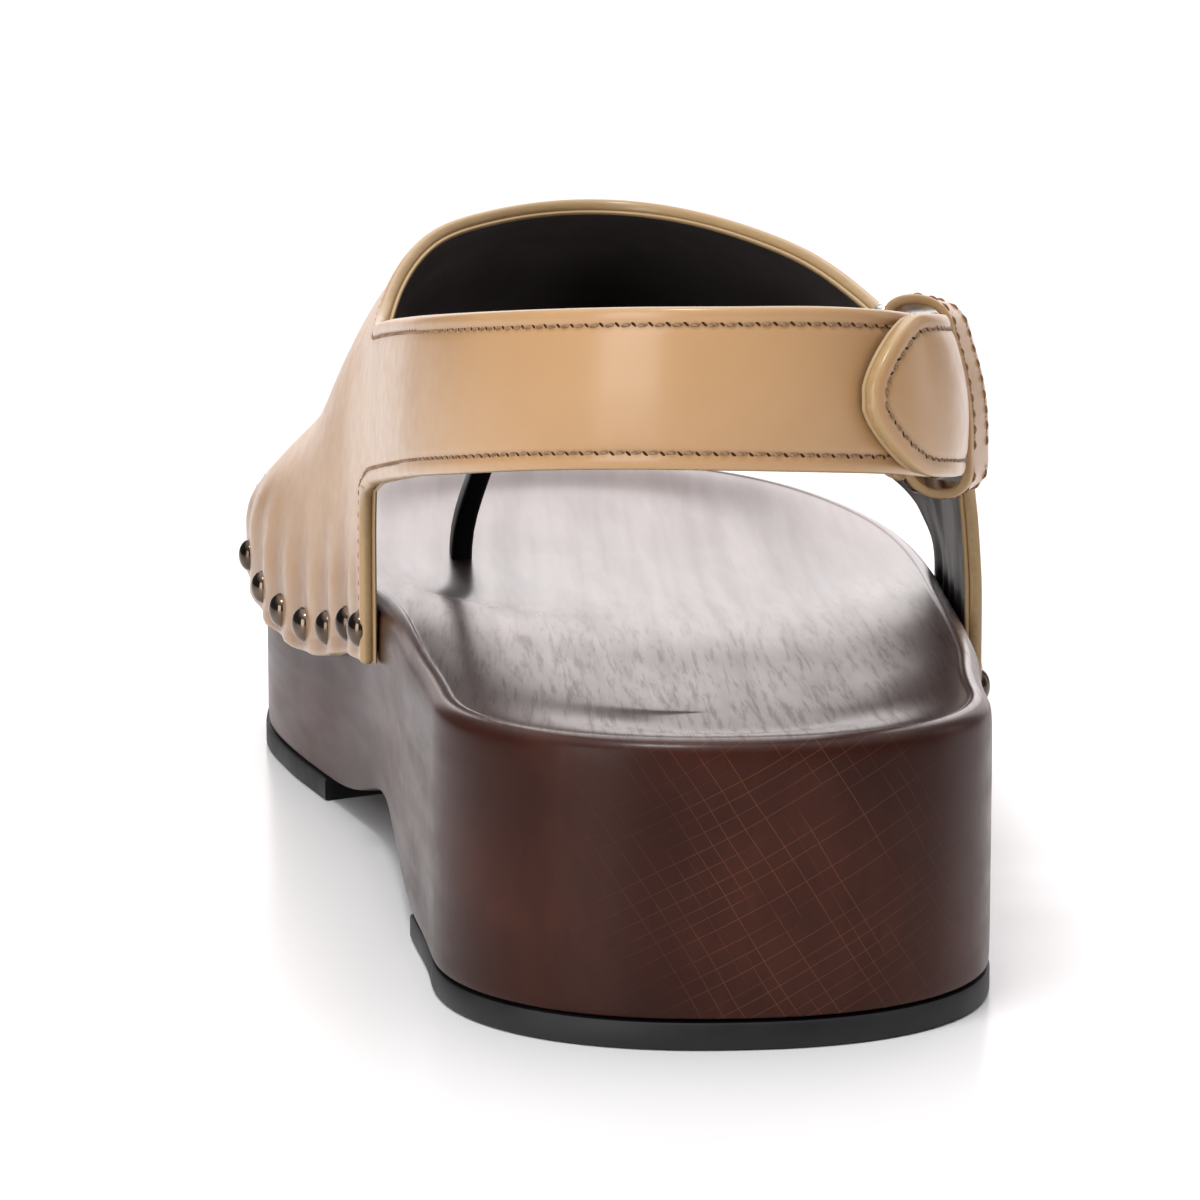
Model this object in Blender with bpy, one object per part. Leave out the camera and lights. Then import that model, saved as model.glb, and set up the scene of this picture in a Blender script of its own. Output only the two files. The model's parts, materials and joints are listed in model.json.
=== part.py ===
"""A right-foot thong clog with a slingback strap: a carved wooden sole with two rubber treads, a
leather vamp nailed round its edge with dome studs, a toe post, and a strap that goes round the heel
to a small side buckle.

Lengths are in millimetres on the last: +Y from the back of the heel to the toe, +X to the outer
(lateral) side of the foot, +Z up from the floor. The empty "clog" carries every piece and moves the
origin to the middle of the footprint.
"""

import math
from collections import namedtuple

import bmesh
import bpy
from mathutils import Matrix, Vector

MM = 0.001
MEDIAL, LATERAL = -1, 1

# Driving dimensions.
LENGTH = 256.0  # sole, back of the heel to the tip of the toe
HEEL_ROUND = 34.0  # length of the rounded back of the heel
HEEL_X, TOE_X = 1.4, -3.0  # where the outline's two ends sit
BALL = {MEDIAL: 188.0, LATERAL: 165.0}  # where the toe curve starts on each side
HEEL_CURVE, TOE_CURVE = 2.25, {MEDIAL: 2.2, LATERAL: 2.3}  # exponents: 2 is an ellipse, more is squarer
TREAD = 3.1  # rubber thickness
GAP = 0.3  # between neighbouring pieces
LIP_RADIUS = 2.3  # rounding of the wood's top edge
# How far in from the rim the footbed falls to its full depth: at the outer side, the rear, and the
# inner side of the heel and of the front.
BOWL_OUTER, BOWL_REAR, BOWL_INNER_HEEL, BOWL_INNER_FRONT = 18.0, 13.0, 30.0, 20.0
LIP_WIDTH = 2.7  # rim round the footbed
FOOTBED_DROP = 0.3  # step from the rim to the footbed
LEATHER = 2.2  # leather with its lining
STUD_DIAMETER, STUD_HEIGHT = 5.2, 1.7
FOOTPRINT_MIDDLE = (-1.93, 127.04)  # middle of the finished shoe, seen from above

# The sole at stations along its length: the two sides of its outline, the height of its top edge,
# the depth of the hollow for the foot, and the height of the wood's underside.
Station = namedtuple("Station", "y medial lateral lip dish under")
SOLE = [
    Station(0, -31.0, 34.3, 34.7, 0.9, 3.4),
    Station(34, -31.0, 34.3, 34.8, 2.7, 3.4),
    Station(57, -32.5, 37.3, 34.9, 3.8, 3.4),
    Station(80, -33.5, 39.3, 34.9, 4.4, 7.2),
    Station(98, -34.2, 40.8, 34.5, 4.3, 9.6),
    Station(116, -35.6, 42.4, 33.8, 4.2, 7.0),
    Station(134, -38.9, 44.2, 32.9, 4.3, 3.4),
    Station(150, -42.6, 45.2, 32.6, 4.6, 3.4),
    Station(165, -45.9, 45.6, 32.6, 4.6, 3.4),
    Station(188, -48.9, 44.7, 32.7, 4.4, 3.4),
    Station(205, -48.9, 42.3, 32.9, 3.8, 4.3),
    Station(230, -48.9, 34.4, 33.6, 3.0, 8.0),
    Station(256, -48.9, 0.0, 34.4, 1.5, 13.0),
]
HEEL_TREAD_END, FRONT_TREAD_START = 57.0, 142.5
TREAD_CURVE = 13.0  # how far the front tread's rear edge is hollowed

# The leather nailed to the wood's side: height of its lower edge and of the studs, along the sole.
Margin = namedtuple("Margin", "y edge studs")
NAILED = {
    MEDIAL: [
        Margin(103, 26.2, 30.8),
        Margin(118, 25.3, 29.3),
        Margin(133, 22.3, 26.4),
        Margin(147, 20.6, 24.9),
        Margin(160, 21.0, 24.9),
        Margin(174, 22.7, 26.6),
        Margin(195, 27.0, 31.5),
    ],
    LATERAL: [
        Margin(88, 19.6, 24.0),
        Margin(110, 19.7, 24.1),
        Margin(130, 20.3, 24.7),
        Margin(150, 21.8, 26.2),
    ],
}
STUD_ROW = {MEDIAL: (105.5, 185.0, 7), LATERAL: (93.0, 145.0, 5)}  # first, last, how many

# The vamp as arched sections from its back edge (0) to its front edge (1): where it stands on each
# side of the sole, its crown, and how square each flank is.
Section = namedtuple("Section", "at medial_y lateral_y crown_x crown_y crown_z medial_square lateral_square")
VAMP = [
    Section(0.0, 103, 88, -1.0, 147, 83.6, 4.5, 2.5),
    Section(0.3, 131, 107, -2.5, 161, 78.0, 3.5, 2.5),
    Section(0.6, 158, 125, -5.0, 175, 66.0, 2.2, 2.45),
    Section(1.0, 195, 150, -9.0, 189, 52.0, 1.9, 2.6),
]
SPRING = 33.0  # height at which the flanks leave the wood
LEG_STRAP = {MEDIAL: (50.0, 70.7), LATERAL: (51.8, 71.5)}  # where the straps leave the vamp's back edge

# Rows across the strap, as fractions of its width up from its middle. The middle pair leaves room
# for the buckle's prong.
CORNER = {MEDIAL: 7.0, LATERAL: 4.0}  # radius where a strap's lower edge leaves its leg
STRAP_ROWS = (-0.5, -0.28, -0.08, 0.08, 0.28, 0.5)

# The slingback seen from above, from the medial flank round the heel to the buckle. Lean is how far
# its lower edge stands out for each unit of height, cup is how far both edges curl in, and low and
# high are the heights of its edges.
Bend = namedtuple("Bend", "x y lean cup low high")
SLING = [
    Bend(-35.0, 90, 0.04, 0.3, 51.6, 72.0),
    Bend(-34.3, 74, 0.05, 0.4, 53.9, 73.9),
    Bend(-33.2, 57, 0.05, 0.5, 56.4, 75.7),
    Bend(-31.2, 40, 0.05, 0.6, 58.9, 77.5),
    Bend(-27.0, 23, 0.05, 0.6, 61.3, 79.3),
    Bend(-20.0, 9.5, 0.04, 0.6, 63.3, 80.8),
    Bend(-10.5, 1.6, 0.03, 0.6, 64.3, 81.7),
    Bend(0.0, -1.0, 0.03, 0.6, 64.4, 81.9),
    Bend(10.0, 0.8, 0.03, 0.7, 63.9, 81.7),
    Bend(18.2, 6.8, 0.05, 0.9, 62.9, 80.7),
    Bend(23.8, 16.5, 0.08, 1.3, 61.3, 79.3),
    Bend(26.7, 28, 0.11, 1.6, 59.9, 78.0),
    Bend(28.4, 40, 0.14, 1.4, 58.6, 76.8),
    Bend(29.0, 48, 0.17, 0.8, 58.0, 75.9),
    Bend(29.0, 53.6, 0.19, 0.2, 57.1, 75.0),
]
# The buckle seen from above: the bar that the slingback turns round, and the bar over the strap.
HEEL_BAR, OVER_BAR = Vector((26.6, 57.0)), Vector((34.6, 63.9))
BUCKLE_LEAN = 0.19
BAR = 2.0  # thickness of the buckle's bars
BUCKLE_HEIGHT = 23.4
BUCKLE_LOW, BUCKLE_HIGH = 56.6, 74.6  # the straps' edges inside the buckle
TURNED_END = Vector((24.7, 49.8))  # where the turned end of the slingback stops

# The buckle strap, from the lateral flank back through the buckle, over the slingback to its tip.
LAYER = 2.75  # between the middles of the two straps where they lie together
STRAP_START = [
    Bend(36.3, 82.5, 0.38, 1.1, 52.8, 72.3),
    Bend(34.3, 75, 0.30, 0.8, 54.3, 73.1),
    Bend(32.4, 69, 0.24, 0.4, 55.6, 73.9),
]
TIP_X = 14.6  # how far round the heel the tip reaches
TIP_DROP = 0.8  # how far the tip hangs below the middle of the strap
TIP_ROUND = 11.5  # length of the rounded tip
TIP_COLUMNS = (0.0, 0.5, 1.4, 2.8, 4.6, 6.8, 9.2, 11.8, 15.0)  # distances back from the tip

KEEPER_WIDTH, KEEPER_LEATHER = 9.0, 1.2
KEEPER_Y, KEEPER_HEIGHT = 42.5, 23.3
KEEPER_RISE = 0.3  # how far its middle is above the middle of the strap
KEEPER_TURN = 2.5  # degrees that it slews on the strap
KEEPER_SQUARE = 0.8  # 1 gives the loop round ends, less makes them squarer

POST_THICK, POST_LONG = 3.2, 9.0
POST_SLOT_DEPTH = 6.0
PostStation = namedtuple("PostStation", "x y z")
POST = [
    PostStation(-19.8, 190.0, 22.5),
    PostStation(-19.8, 190.0, 27.5),
    PostStation(-19.6, 189.6, 32.0),
    PostStation(-18.3, 188.4, 37.0),
    PostStation(-16.4, 186.8, 42.5),
    PostStation(-14.9, 185.2, 47.5),
    PostStation(-14.2, 184.2, 50.5),
]
POST_TOP_SLOPE = 0.85  # the post's top is cut to the slope of the vamp


def clear_scene():
    for obj in list(bpy.data.objects):
        bpy.data.objects.remove(obj, do_unlink=True)


def smooth_curve(stations, values):
    """A function through the given points that never overshoots between them."""
    steps = [(v1 - v0) / (s1 - s0) for s0, s1, v0, v1 in zip(stations, stations[1:], values, values[1:])]
    slopes = [steps[0]]
    for before, after in zip(steps, steps[1:]):
        slopes.append(0.0 if before * after <= 0 else 2 * before * after / (before + after))
    slopes.append(steps[-1])

    def value(at):
        at = min(max(at, stations[0]), stations[-1])
        i = 0
        while i < len(stations) - 2 and at > stations[i + 1]:
            i += 1
        span = stations[i + 1] - stations[i]
        t = (at - stations[i]) / span
        return (
            values[i] * (1 + 2 * t) * (1 - t) ** 2
            + slopes[i] * span * t * (1 - t) ** 2
            + values[i + 1] * t * t * (3 - 2 * t)
            + slopes[i + 1] * span * t * t * (t - 1)
        )

    return value


def columns(table, first="y"):
    """One smooth function for each column of a table, over its first column."""
    at = [getattr(row, first) for row in table]
    return {name: smooth_curve(at, [getattr(row, name) for row in table]) for name in table[0]._fields[1:]}


SOLE_AT = columns(SOLE)
NAILED_AT = {side: columns(table) for side, table in NAILED.items()}
VAMP_AT = columns(VAMP, "at")


def round_end(share, exponent):
    """Half-width of a rounded end, 1 where share is 0 and 0 where share is 1."""
    return max(0.0, 1 - share**exponent) ** (1 / exponent)


def side_x(side, y):
    """The sole's outline on one side."""
    name = "medial" if side == MEDIAL else "lateral"
    if y < HEEL_ROUND:
        widest = SOLE_AT[name](HEEL_ROUND)
        return HEEL_X + (widest - HEEL_X) * round_end(1 - y / HEEL_ROUND, HEEL_CURVE)
    if y > BALL[side]:
        widest = SOLE_AT[name](BALL[side])
        share = (y - BALL[side]) / (LENGTH - BALL[side])
        return TOE_X + (widest - TOE_X) * round_end(min(share, 1.0), TOE_CURVE[side])
    return SOLE_AT[name](y)


def outward(side, y, step=0.5):
    """Unit vector across the outline, away from the sole."""
    if y <= 0.0 or y >= LENGTH:
        return Vector((0.0, -1.0 if y <= 0.0 else 1.0))
    low, high = max(y - step, 0.0), min(y + step, LENGTH)
    along = Vector((side_x(side, high) - side_x(side, low), high - low))
    return Vector((along.y, -along.x)).normalized() * side


def outline_stations(start=0.0, end=LENGTH):
    """Stations along the sole, closer together round the heel and the toe."""
    heel = [HEEL_ROUND * (1 - math.cos(math.radians(a))) for a in range(0, 90, 10)]
    toe = [LENGTH - 68.0 * (1 - math.sin(math.radians(a))) for a in range(0, 91, 9)]
    middle = [HEEL_ROUND + (toe[0] - HEEL_ROUND) * i / 15 for i in range(15)]
    inside = [y for y in heel + middle + toe if start < y < end]
    return [start] + inside + [end]


def ring(stations, inset, pull=1.0):
    """Points round the outline: up the medial side and back down the lateral side, moved in by
    inset, and then pulled towards the spine of the sole (1 is not at all, 0 is onto it)."""
    points = []
    for side, order in ((MEDIAL, stations), (LATERAL, stations[::-1])):
        for y in order:
            edge = Vector((side_x(side, y), y)) - outward(side, y) * inset
            spine_y = min(max(y, HEEL_ROUND), BALL[MEDIAL])
            spine = Vector(((side_x(MEDIAL, spine_y) + side_x(LATERAL, spine_y)) / 2, spine_y))
            points.append(spine + (edge - spine) * pull)
    return points


def footbed_ring(stations, pull):
    """A ring of the footbed. It falls from the rim in a smooth step, steep on the outer side and at
    the heel and gentle on the inner side of the heel."""
    points = []
    for edge, p in zip(ring(stations, LIP_WIDTH), ring(stations, LIP_WIDTH, pull)):
        away = edge - p
        across = away.x / away.length
        front = min(1.0, max(0.0, (p.y - 115.0) / 25.0))
        inner = BOWL_INNER_HEEL + (BOWL_INNER_FRONT - BOWL_INNER_HEEL) * front
        reach = BOWL_REAR + ((BOWL_OUTER if across > 0 else inner) - BOWL_REAR) * across**2
        share = max(0.0, 1 - away.length / reach)
        depth = 1 - share**2 * (3 - 2 * share)
        points.append((p.x, p.y, SOLE_AT["lip"](p.y) - FOOTBED_DROP - SOLE_AT["dish"](p.y) * depth))
    return points


def finish_mesh(name, bm, smooth_angle=35.0):
    """Turns a bmesh in millimetres into a named object under the clog's empty."""
    bmesh.ops.remove_doubles(bm, verts=bm.verts, dist=0.01)
    bmesh.ops.recalc_face_normals(bm, faces=bm.faces)
    bmesh.ops.scale(bm, vec=(MM, MM, MM), verts=bm.verts)
    mesh = bpy.data.meshes.new(name)
    bm.to_mesh(mesh)
    bm.free()
    mesh.shade_smooth()
    mesh.set_sharp_from_angle(angle=math.radians(smooth_angle))
    obj = bpy.data.objects.new(name, mesh)
    bpy.context.scene.collection.objects.link(obj)
    obj.parent = bpy.data.objects["clog"]
    return obj


def bridge_rings(bm, rings, closed=True):
    """Quads between neighbouring rings of the same number of vertices."""
    count = len(rings[0])
    for lower, upper in zip(rings, rings[1:]):
        for i in range(count if closed else count - 1):
            j = (i + 1) % count
            bm.faces.new((lower[i], lower[j], upper[j], upper[i]))


def cap_across(bm, verts):
    """Closes a ring made by ring() with strips from its medial to its lateral side."""
    half = len(verts) // 2
    for i in range(half - 1):
        bm.faces.new((verts[i], verts[i + 1], verts[-2 - i], verts[-1 - i]))


def stacked(name, layers):
    """A closed solid from rings of 3D points, capped at its first and last ring."""
    bm = bmesh.new()
    rings = [[bm.verts.new(point) for point in layer] for layer in layers]
    bridge_rings(bm, rings)
    cap_across(bm, rings[0])
    cap_across(bm, rings[-1])
    return finish_mesh(name, bm)


def material(name, colour, roughness, metallic=0.0):
    made = bpy.data.materials.new(name)
    made.use_nodes = True
    shader = made.node_tree.nodes["Principled BSDF"]
    shader.inputs["Base Color"].default_value = (*colour, 1.0)
    shader.inputs["Roughness"].default_value = roughness
    shader.inputs["Metallic"].default_value = metallic
    return made


def wooden_sole():
    """Lacquered wood: underside with its arch, upright wall, rounded rim and hollowed footbed."""
    stations = outline_stations()
    layers = []

    def add(inset, height, pull=1.0):
        layers.append([(p.x, p.y, height(p.y)) for p in ring(stations, inset, pull)])

    def under(rise):
        return lambda y: SOLE_AT["under"](y) + rise

    def wall(share):
        return lambda y: SOLE_AT["under"](y) * (1 - share) + (SOLE_AT["lip"](y) - LIP_RADIUS) * share

    def rim(drop):
        return lambda y: SOLE_AT["lip"](y) - drop

    add(1.0, under(0.0), 0.3)
    add(1.0, under(0.0), 0.7)
    add(1.0, under(0.0))
    add(0.3, under(0.3))
    add(0.0, under(1.0))
    add(0.0, wall(0.5))
    add(0.0, wall(1.0))
    for angle in (30, 60, 90):
        turn = math.radians(angle)
        add(LIP_RADIUS * (1 - math.cos(turn)), rim(LIP_RADIUS * (1 - math.sin(turn))))
    add(LIP_WIDTH, rim(FOOTBED_DROP))
    for pull in (0.93, 0.83, 0.72, 0.6, 0.42, 0.2):
        layers.append(footbed_ring(stations, pull))
    sole = stacked("sole_wood", layers)
    slot = post_slot()
    cut = sole.modifiers.new("toe post slot", "BOOLEAN")
    cut.object = slot
    cut.solver = "EXACT"
    return sole


def post_slot():
    """Cutter for the slot that the toe post is glued into."""
    foot = POST[0]
    bm = bmesh.new()
    bmesh.ops.create_cube(bm, size=1.0)
    size = (POST_THICK + 2 * GAP, POST_LONG + 2 * GAP, 2 * POST_SLOT_DEPTH)
    bmesh.ops.scale(bm, vec=size, verts=bm.verts)
    floor = foot.z - GAP
    bmesh.ops.translate(bm, vec=(foot.x, foot.y, floor + POST_SLOT_DEPTH), verts=bm.verts)
    cutter = finish_mesh("toe_post_slot", bm)
    cutter.hide_render = True
    cutter.display_type = "WIRE"
    return cutter


def tread(name, start, end, inset):
    """A rubber tread under part of the sole. It follows the wood and lies flat on the floor."""
    stations = outline_stations(start, end)

    def level(extra, drop):
        return [(p.x, p.y, max(SOLE_AT["under"](p.y) - drop, 0.0)) for p in ring(stations, inset + extra)]

    return stacked(name, [level(0.35, GAP + TREAD), level(0.0, GAP + TREAD - 0.4), level(0.0, GAP)])


def hollow_rear_edge(rubber, y, depth):
    """Cuts the tread's rear edge to a hollow arc."""
    half = (side_x(LATERAL, y) - side_x(MEDIAL, y)) / 2
    radius = (half**2 + depth**2) / (2 * depth)
    bm = bmesh.new()
    bmesh.ops.create_cone(bm, cap_ends=True, segments=96, radius1=radius, radius2=radius, depth=20.0)
    middle = (side_x(LATERAL, y) + side_x(MEDIAL, y)) / 2
    bmesh.ops.translate(bm, vec=(middle, y + depth - radius, 0.0), verts=bm.verts)
    cutter = finish_mesh("tread_hollow", bm)
    cutter.hide_render = True
    cutter.display_type = "WIRE"
    cut = rubber.modifiers.new("hollow rear edge", "BOOLEAN")
    cut.object = cutter
    cut.solver = "EXACT"


def flank(side, at):
    """Where a section of the vamp stands on one side of the sole, at the leather's middle surface."""
    y = VAMP_AT["medial_y" if side == MEDIAL else "lateral_y"](at)
    return Vector((side_x(side, y), y)) + outward(side, y) * (GAP + LEATHER / 2)


def arch(side, at):
    """One half of a section of the vamp, from where it leaves the wood up to the crown, as closely
    spaced points."""
    foot = flank(side, at)
    square = VAMP_AT["medial_square" if side == MEDIAL else "lateral_square"](at)
    crown = Vector((VAMP_AT["crown_x"](at), VAMP_AT["crown_y"](at), VAMP_AT["crown_z"](at)))
    strap_top = (LEG_STRAP[side][1] - SPRING) / (VAMP[0].crown_z - SPRING)
    out_at_strap = (1 - strap_top**square) ** (1 / square)
    points = []
    for k in range(61):
        angle = math.radians(90 * k / 60)
        out = max(0.0, math.cos(angle)) ** (2 / square)
        up = math.sin(angle) ** (2 / square)
        # The back edge stays upright to the top of the strap, then sweeps forward to the crown.
        upright = math.sqrt(max(0.0, 1 - out / out_at_strap))
        swept_forward = math.sqrt(max(0.0, 1 - out))
        forward = upright * (1 - at) + swept_forward * at
        points.append(
            Vector(
                (
                    crown.x + (foot.x - crown.x) * out,
                    foot.y + (crown.y - foot.y) * forward,
                    SPRING + (crown.z - SPRING) * up,
                )
            )
        )
    return points


def lengths_along(points):
    """Distance travelled from the first point to each of them."""
    travelled = [0.0]
    for a, b in zip(points, points[1:]):
        travelled.append(travelled[-1] + (b - a).length)
    return travelled


def at_length(points, travelled, length):
    """The point at this distance along a line of points."""
    i = 0
    while i < len(points) - 2 and travelled[i + 1] < length:
        i += 1
    return points[i].lerp(points[i + 1], (length - travelled[i]) / (travelled[i + 1] - travelled[i]))


def vamp_rows(side):
    """Rows of one half of the vamp, from its nailed edge to the crown, as (kind, share) pairs: a share
    of the nailed margin, or of the way up the arch."""
    low, high = LEG_STRAP[side]
    back = arch(side, 0.0)
    travelled = lengths_along(back)

    def share_at(height):
        i = next(k for k, p in enumerate(back) if p.z >= height)
        part = (height - back[i - 1].z) / (back[i].z - back[i - 1].z)
        return (travelled[i - 1] + (travelled[i] - travelled[i - 1]) * part) / travelled[-1]

    rows = [("margin", share) for share in (0.0, 0.5, 1.0)]
    corner = CORNER[side]
    rows += [("arch", share_at(z)) for z in (37.5, low - corner, low - corner * 0.5, low - corner * 0.15)]
    heights = [(low + high) / 2 + share * (high - low) for share in STRAP_ROWS]
    rows += [("strap", share_at(z)) for z in heights]
    last = rows[-1][1]
    return rows + [("arch", last + (1 - last) * k / 7) for k in range(1, 7)]


def vamp_lines(side, places):
    """For each row, its points from the back edge of the vamp to its front edge."""
    rows = vamp_rows(side)
    first_strap = [kind for kind, _ in rows].index("strap")
    lines = [[] for _ in rows]
    for at in places:
        foot = flank(side, at)
        edge = NAILED_AT[side]["edge"](foot.y)
        section = arch(side, at)
        travelled = lengths_along(section)
        for k, (kind, share) in enumerate(rows):
            if kind == "margin":
                point = Vector((foot.x, foot.y, edge + (SPRING - edge) * share))
            else:
                point = at_length(section, travelled, share * travelled[-1])
            lines[k].append(point)
    # The strap's lower edge leaves the leg in a quarter circle.
    for back, turned in ((0, 1.0), (1, 0.47), (2, 0.13)):
        lines[first_strap - back][0].y -= CORNER[side] * turned
    return rows, lines


def spline(bends, steps):
    """Bends along a smooth curve through the given ones."""
    result = []
    last = len(bends) - 1
    for i in range(last):
        p0, p1, p2, p3 = (bends[min(max(k, 0), last)] for k in (i - 1, i, i + 1, i + 2))
        for step in range(steps):
            t = step / steps
            weights = (
                -0.5 * t + t**2 - 0.5 * t**3,
                1 - 2.5 * t**2 + 1.5 * t**3,
                0.5 * t + 2 * t**2 - 1.5 * t**3,
                -0.5 * t**2 + 0.5 * t**3,
            )
            columns_of_values = zip(p0, p1, p2, p3)
            result.append(Bend(*(sum(w * v for w, v in zip(weights, c)) for c in columns_of_values)))
    return result + [bends[-1]]


# One column of points across a strap: its place in plan, how far each unit of height leans it and how
# far its edges curl (both in plan), and its edges' heights.
Column = namedtuple("Column", "place lean cup low high")


def outward_of(bends, i, side):
    """Unit vector to the outer side of the strap at one of its bends: on the right of a path that
    starts at the medial flank, and on the left of one that starts at the lateral flank."""
    before, after = bends[max(i - 1, 0)], bends[min(i + 1, len(bends) - 1)]
    along = Vector((after.x - before.x, after.y - before.y)).normalized()
    return Vector((along.y, -along.x)) * -side


def columns_along(bends, side, shift=0.0):
    """Columns at each bend, moved outward by shift."""
    made = []
    for i, bend in enumerate(bends):
        out = outward_of(bends, i, side)
        place = Vector((bend.x, bend.y)) + out * shift
        made.append(Column(place, out * bend.lean, out * bend.cup, bend.low, bend.high))
    return made


def column_points(column, width=1.0):
    """Points across the strap in one column, from its lower to its upper edge."""
    middle, full = (column.low + column.high) / 2, column.high - column.low
    points = []
    for share in STRAP_ROWS:
        rise = share * full * width
        plan = column.place - column.lean * rise - column.cup * (2 * share * width) ** 2
        points.append(Vector((plan.x, plan.y, middle + rise)))
    return points


def in_buckle(x, y):
    """A flat column that leans with the buckle."""
    return Column(Vector((x, y)), Vector((BUCKLE_LEAN, 0)), Vector((0, 0)), BUCKLE_LOW, BUCKLE_HIGH)


def sling_columns():
    """The slingback: round the heel, round the buckle's bar, and back to its turned end."""
    radius = BAR / 2 + GAP + LEATHER / 2
    turn = []
    for angle in range(-10, 191, 20):
        a = math.radians(angle)
        turn.append(in_buckle(HEEL_BAR.x + radius * math.cos(a), HEEL_BAR.y + radius * math.sin(a)))
    back = [in_buckle(HEEL_BAR.x - radius, HEEL_BAR.y - 3.4), in_buckle(*TURNED_END)]
    return columns_along(spline(SLING, 3), MEDIAL) + turn + back


def buckle_strap_columns():
    """The buckle strap from the lateral flank to its tip, with each column's width as a share, and the
    places where the prong's hole lies."""
    start = columns_along(spline(STRAP_START, 2), LATERAL)
    outer_x = HEEL_BAR.x + BAR / 2 + GAP + LEATHER / 2 + LAYER
    through = [in_buckle(outer_x, OVER_BAR.y - step) for step in (-0.4, 2.3, 4.6, 7.0)]
    laid = [c for c in columns_along(spline(SLING, 12), MEDIAL, LAYER) if c.place.x > TIP_X]
    laid = [c for c in laid if c.place.y < 50.0]  # from the tip forward to the keeper
    places = [c.place for c in laid]
    travelled = lengths_along(places)
    wanted = list(TIP_COLUMNS)
    while wanted[-1] + 4.0 < travelled[-1]:
        wanted.append(wanted[-1] + 3.7)
    chosen, widths = [], []
    for length in wanted:
        i = max(k for k in range(len(laid)) if travelled[k] <= length + 0.001)
        left = min(length / TIP_ROUND, 1.0)
        width = 0.13 + 0.87 * (1 - (1 - left) ** 1.8) ** 0.72
        low, high = laid[i].low, laid[i].high
        drop = TIP_DROP * (1 - width)
        place = at_length(places, travelled, length)
        chosen.append(laid[i]._replace(place=place, low=low - drop, high=high - drop))
        widths.append(width)
    before = start + through
    return before + chosen[::-1], [1.0] * len(before) + widths[::-1], len(start) + 1


def upper():
    """The vamp with both straps, cut in one. It is drawn as the leather's middle surface, and
    Solidify gives it its thickness."""
    bm = bmesh.new()
    places = [i / 10 for i in range(11)]
    halves, joins = {}, {}
    for side in (MEDIAL, LATERAL):
        rows, lines = vamp_lines(side, places)
        halves[side] = [[bm.verts.new(point) for point in line] for line in lines]
        joins[side] = [line[0] for line, (kind, _) in zip(halves[side], rows) if kind == "strap"]
    crown = [bm.verts.new([VAMP_AT[name](at) for name in ("crown_x", "crown_y", "crown_z")]) for at in places]
    bridge_rings(bm, halves[MEDIAL] + [crown] + halves[LATERAL][::-1], closed=False)

    def strap_from(previous, strap, widths, slotted):
        for i, (column, width) in enumerate(zip(strap, widths)):
            current = [bm.verts.new(p) for p in column_points(column, width)]
            for k in range(len(current) - 1):
                if k != len(current) // 2 - 1 or i not in slotted:
                    bm.faces.new((previous[k], previous[k + 1], current[k + 1], current[k]))
            previous = current

    sling = sling_columns()
    around_bar = range(len(sling) - 13, len(sling) - 1)
    strap_from(joins[MEDIAL], sling, [1.0] * len(sling), around_bar)
    strap, widths, hole = buckle_strap_columns()
    strap_from(joins[LATERAL], strap, widths, (hole + 1, hole + 2))
    leather = finish_mesh("upper", bm, 60.0)
    solid = leather.modifiers.new("leather", "SOLIDIFY")
    solid.thickness = LEATHER * MM
    solid.offset = 0.0
    solid.use_even_offset = True
    return leather


def swept(name, frames, profile):
    """A closed solid: a closed profile of (across, up) points carried through frames of
    (place, across, up) vectors. The ends are filled."""
    bm = bmesh.new()
    rings = []
    for place, across, up in frames:
        rings.append([bm.verts.new(place + across * a + up * b) for a, b in profile])
    bridge_rings(bm, rings)
    bm.faces.new(rings[0])
    bm.faces.new(rings[-1])
    return finish_mesh(name, bm)


def swept_loop(name, frames, profile):
    """The same, where the last frame joins the first."""
    bm = bmesh.new()
    rings = []
    for place, across, up in frames:
        rings.append([bm.verts.new(place + across * a + up * b) for a, b in profile])
    bridge_rings(bm, rings + [rings[0]])
    return finish_mesh(name, bm)


def toe_post():
    """A folded leather strip between the first two toes, from the footbed to the vamp."""
    half_x, half_y, round_off = POST_THICK / 2, POST_LONG / 2, 0.8
    profile = [
        (-half_x, -half_y + round_off),
        (-half_x + round_off, -half_y),
        (half_x - round_off, -half_y),
        (half_x, -half_y + round_off),
        (half_x, half_y - round_off),
        (half_x - round_off, half_y),
        (-half_x + round_off, half_y),
        (-half_x, half_y - round_off),
    ]
    frames = [(Vector(station), Vector((1, 0, 0)), Vector((0, 1, 0))) for station in POST]
    top, across, _ = frames[-1]
    frames[-1] = (top, across, Vector((0, 1, -POST_TOP_SLOPE)))
    return swept("toe_post", frames, profile)


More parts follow.
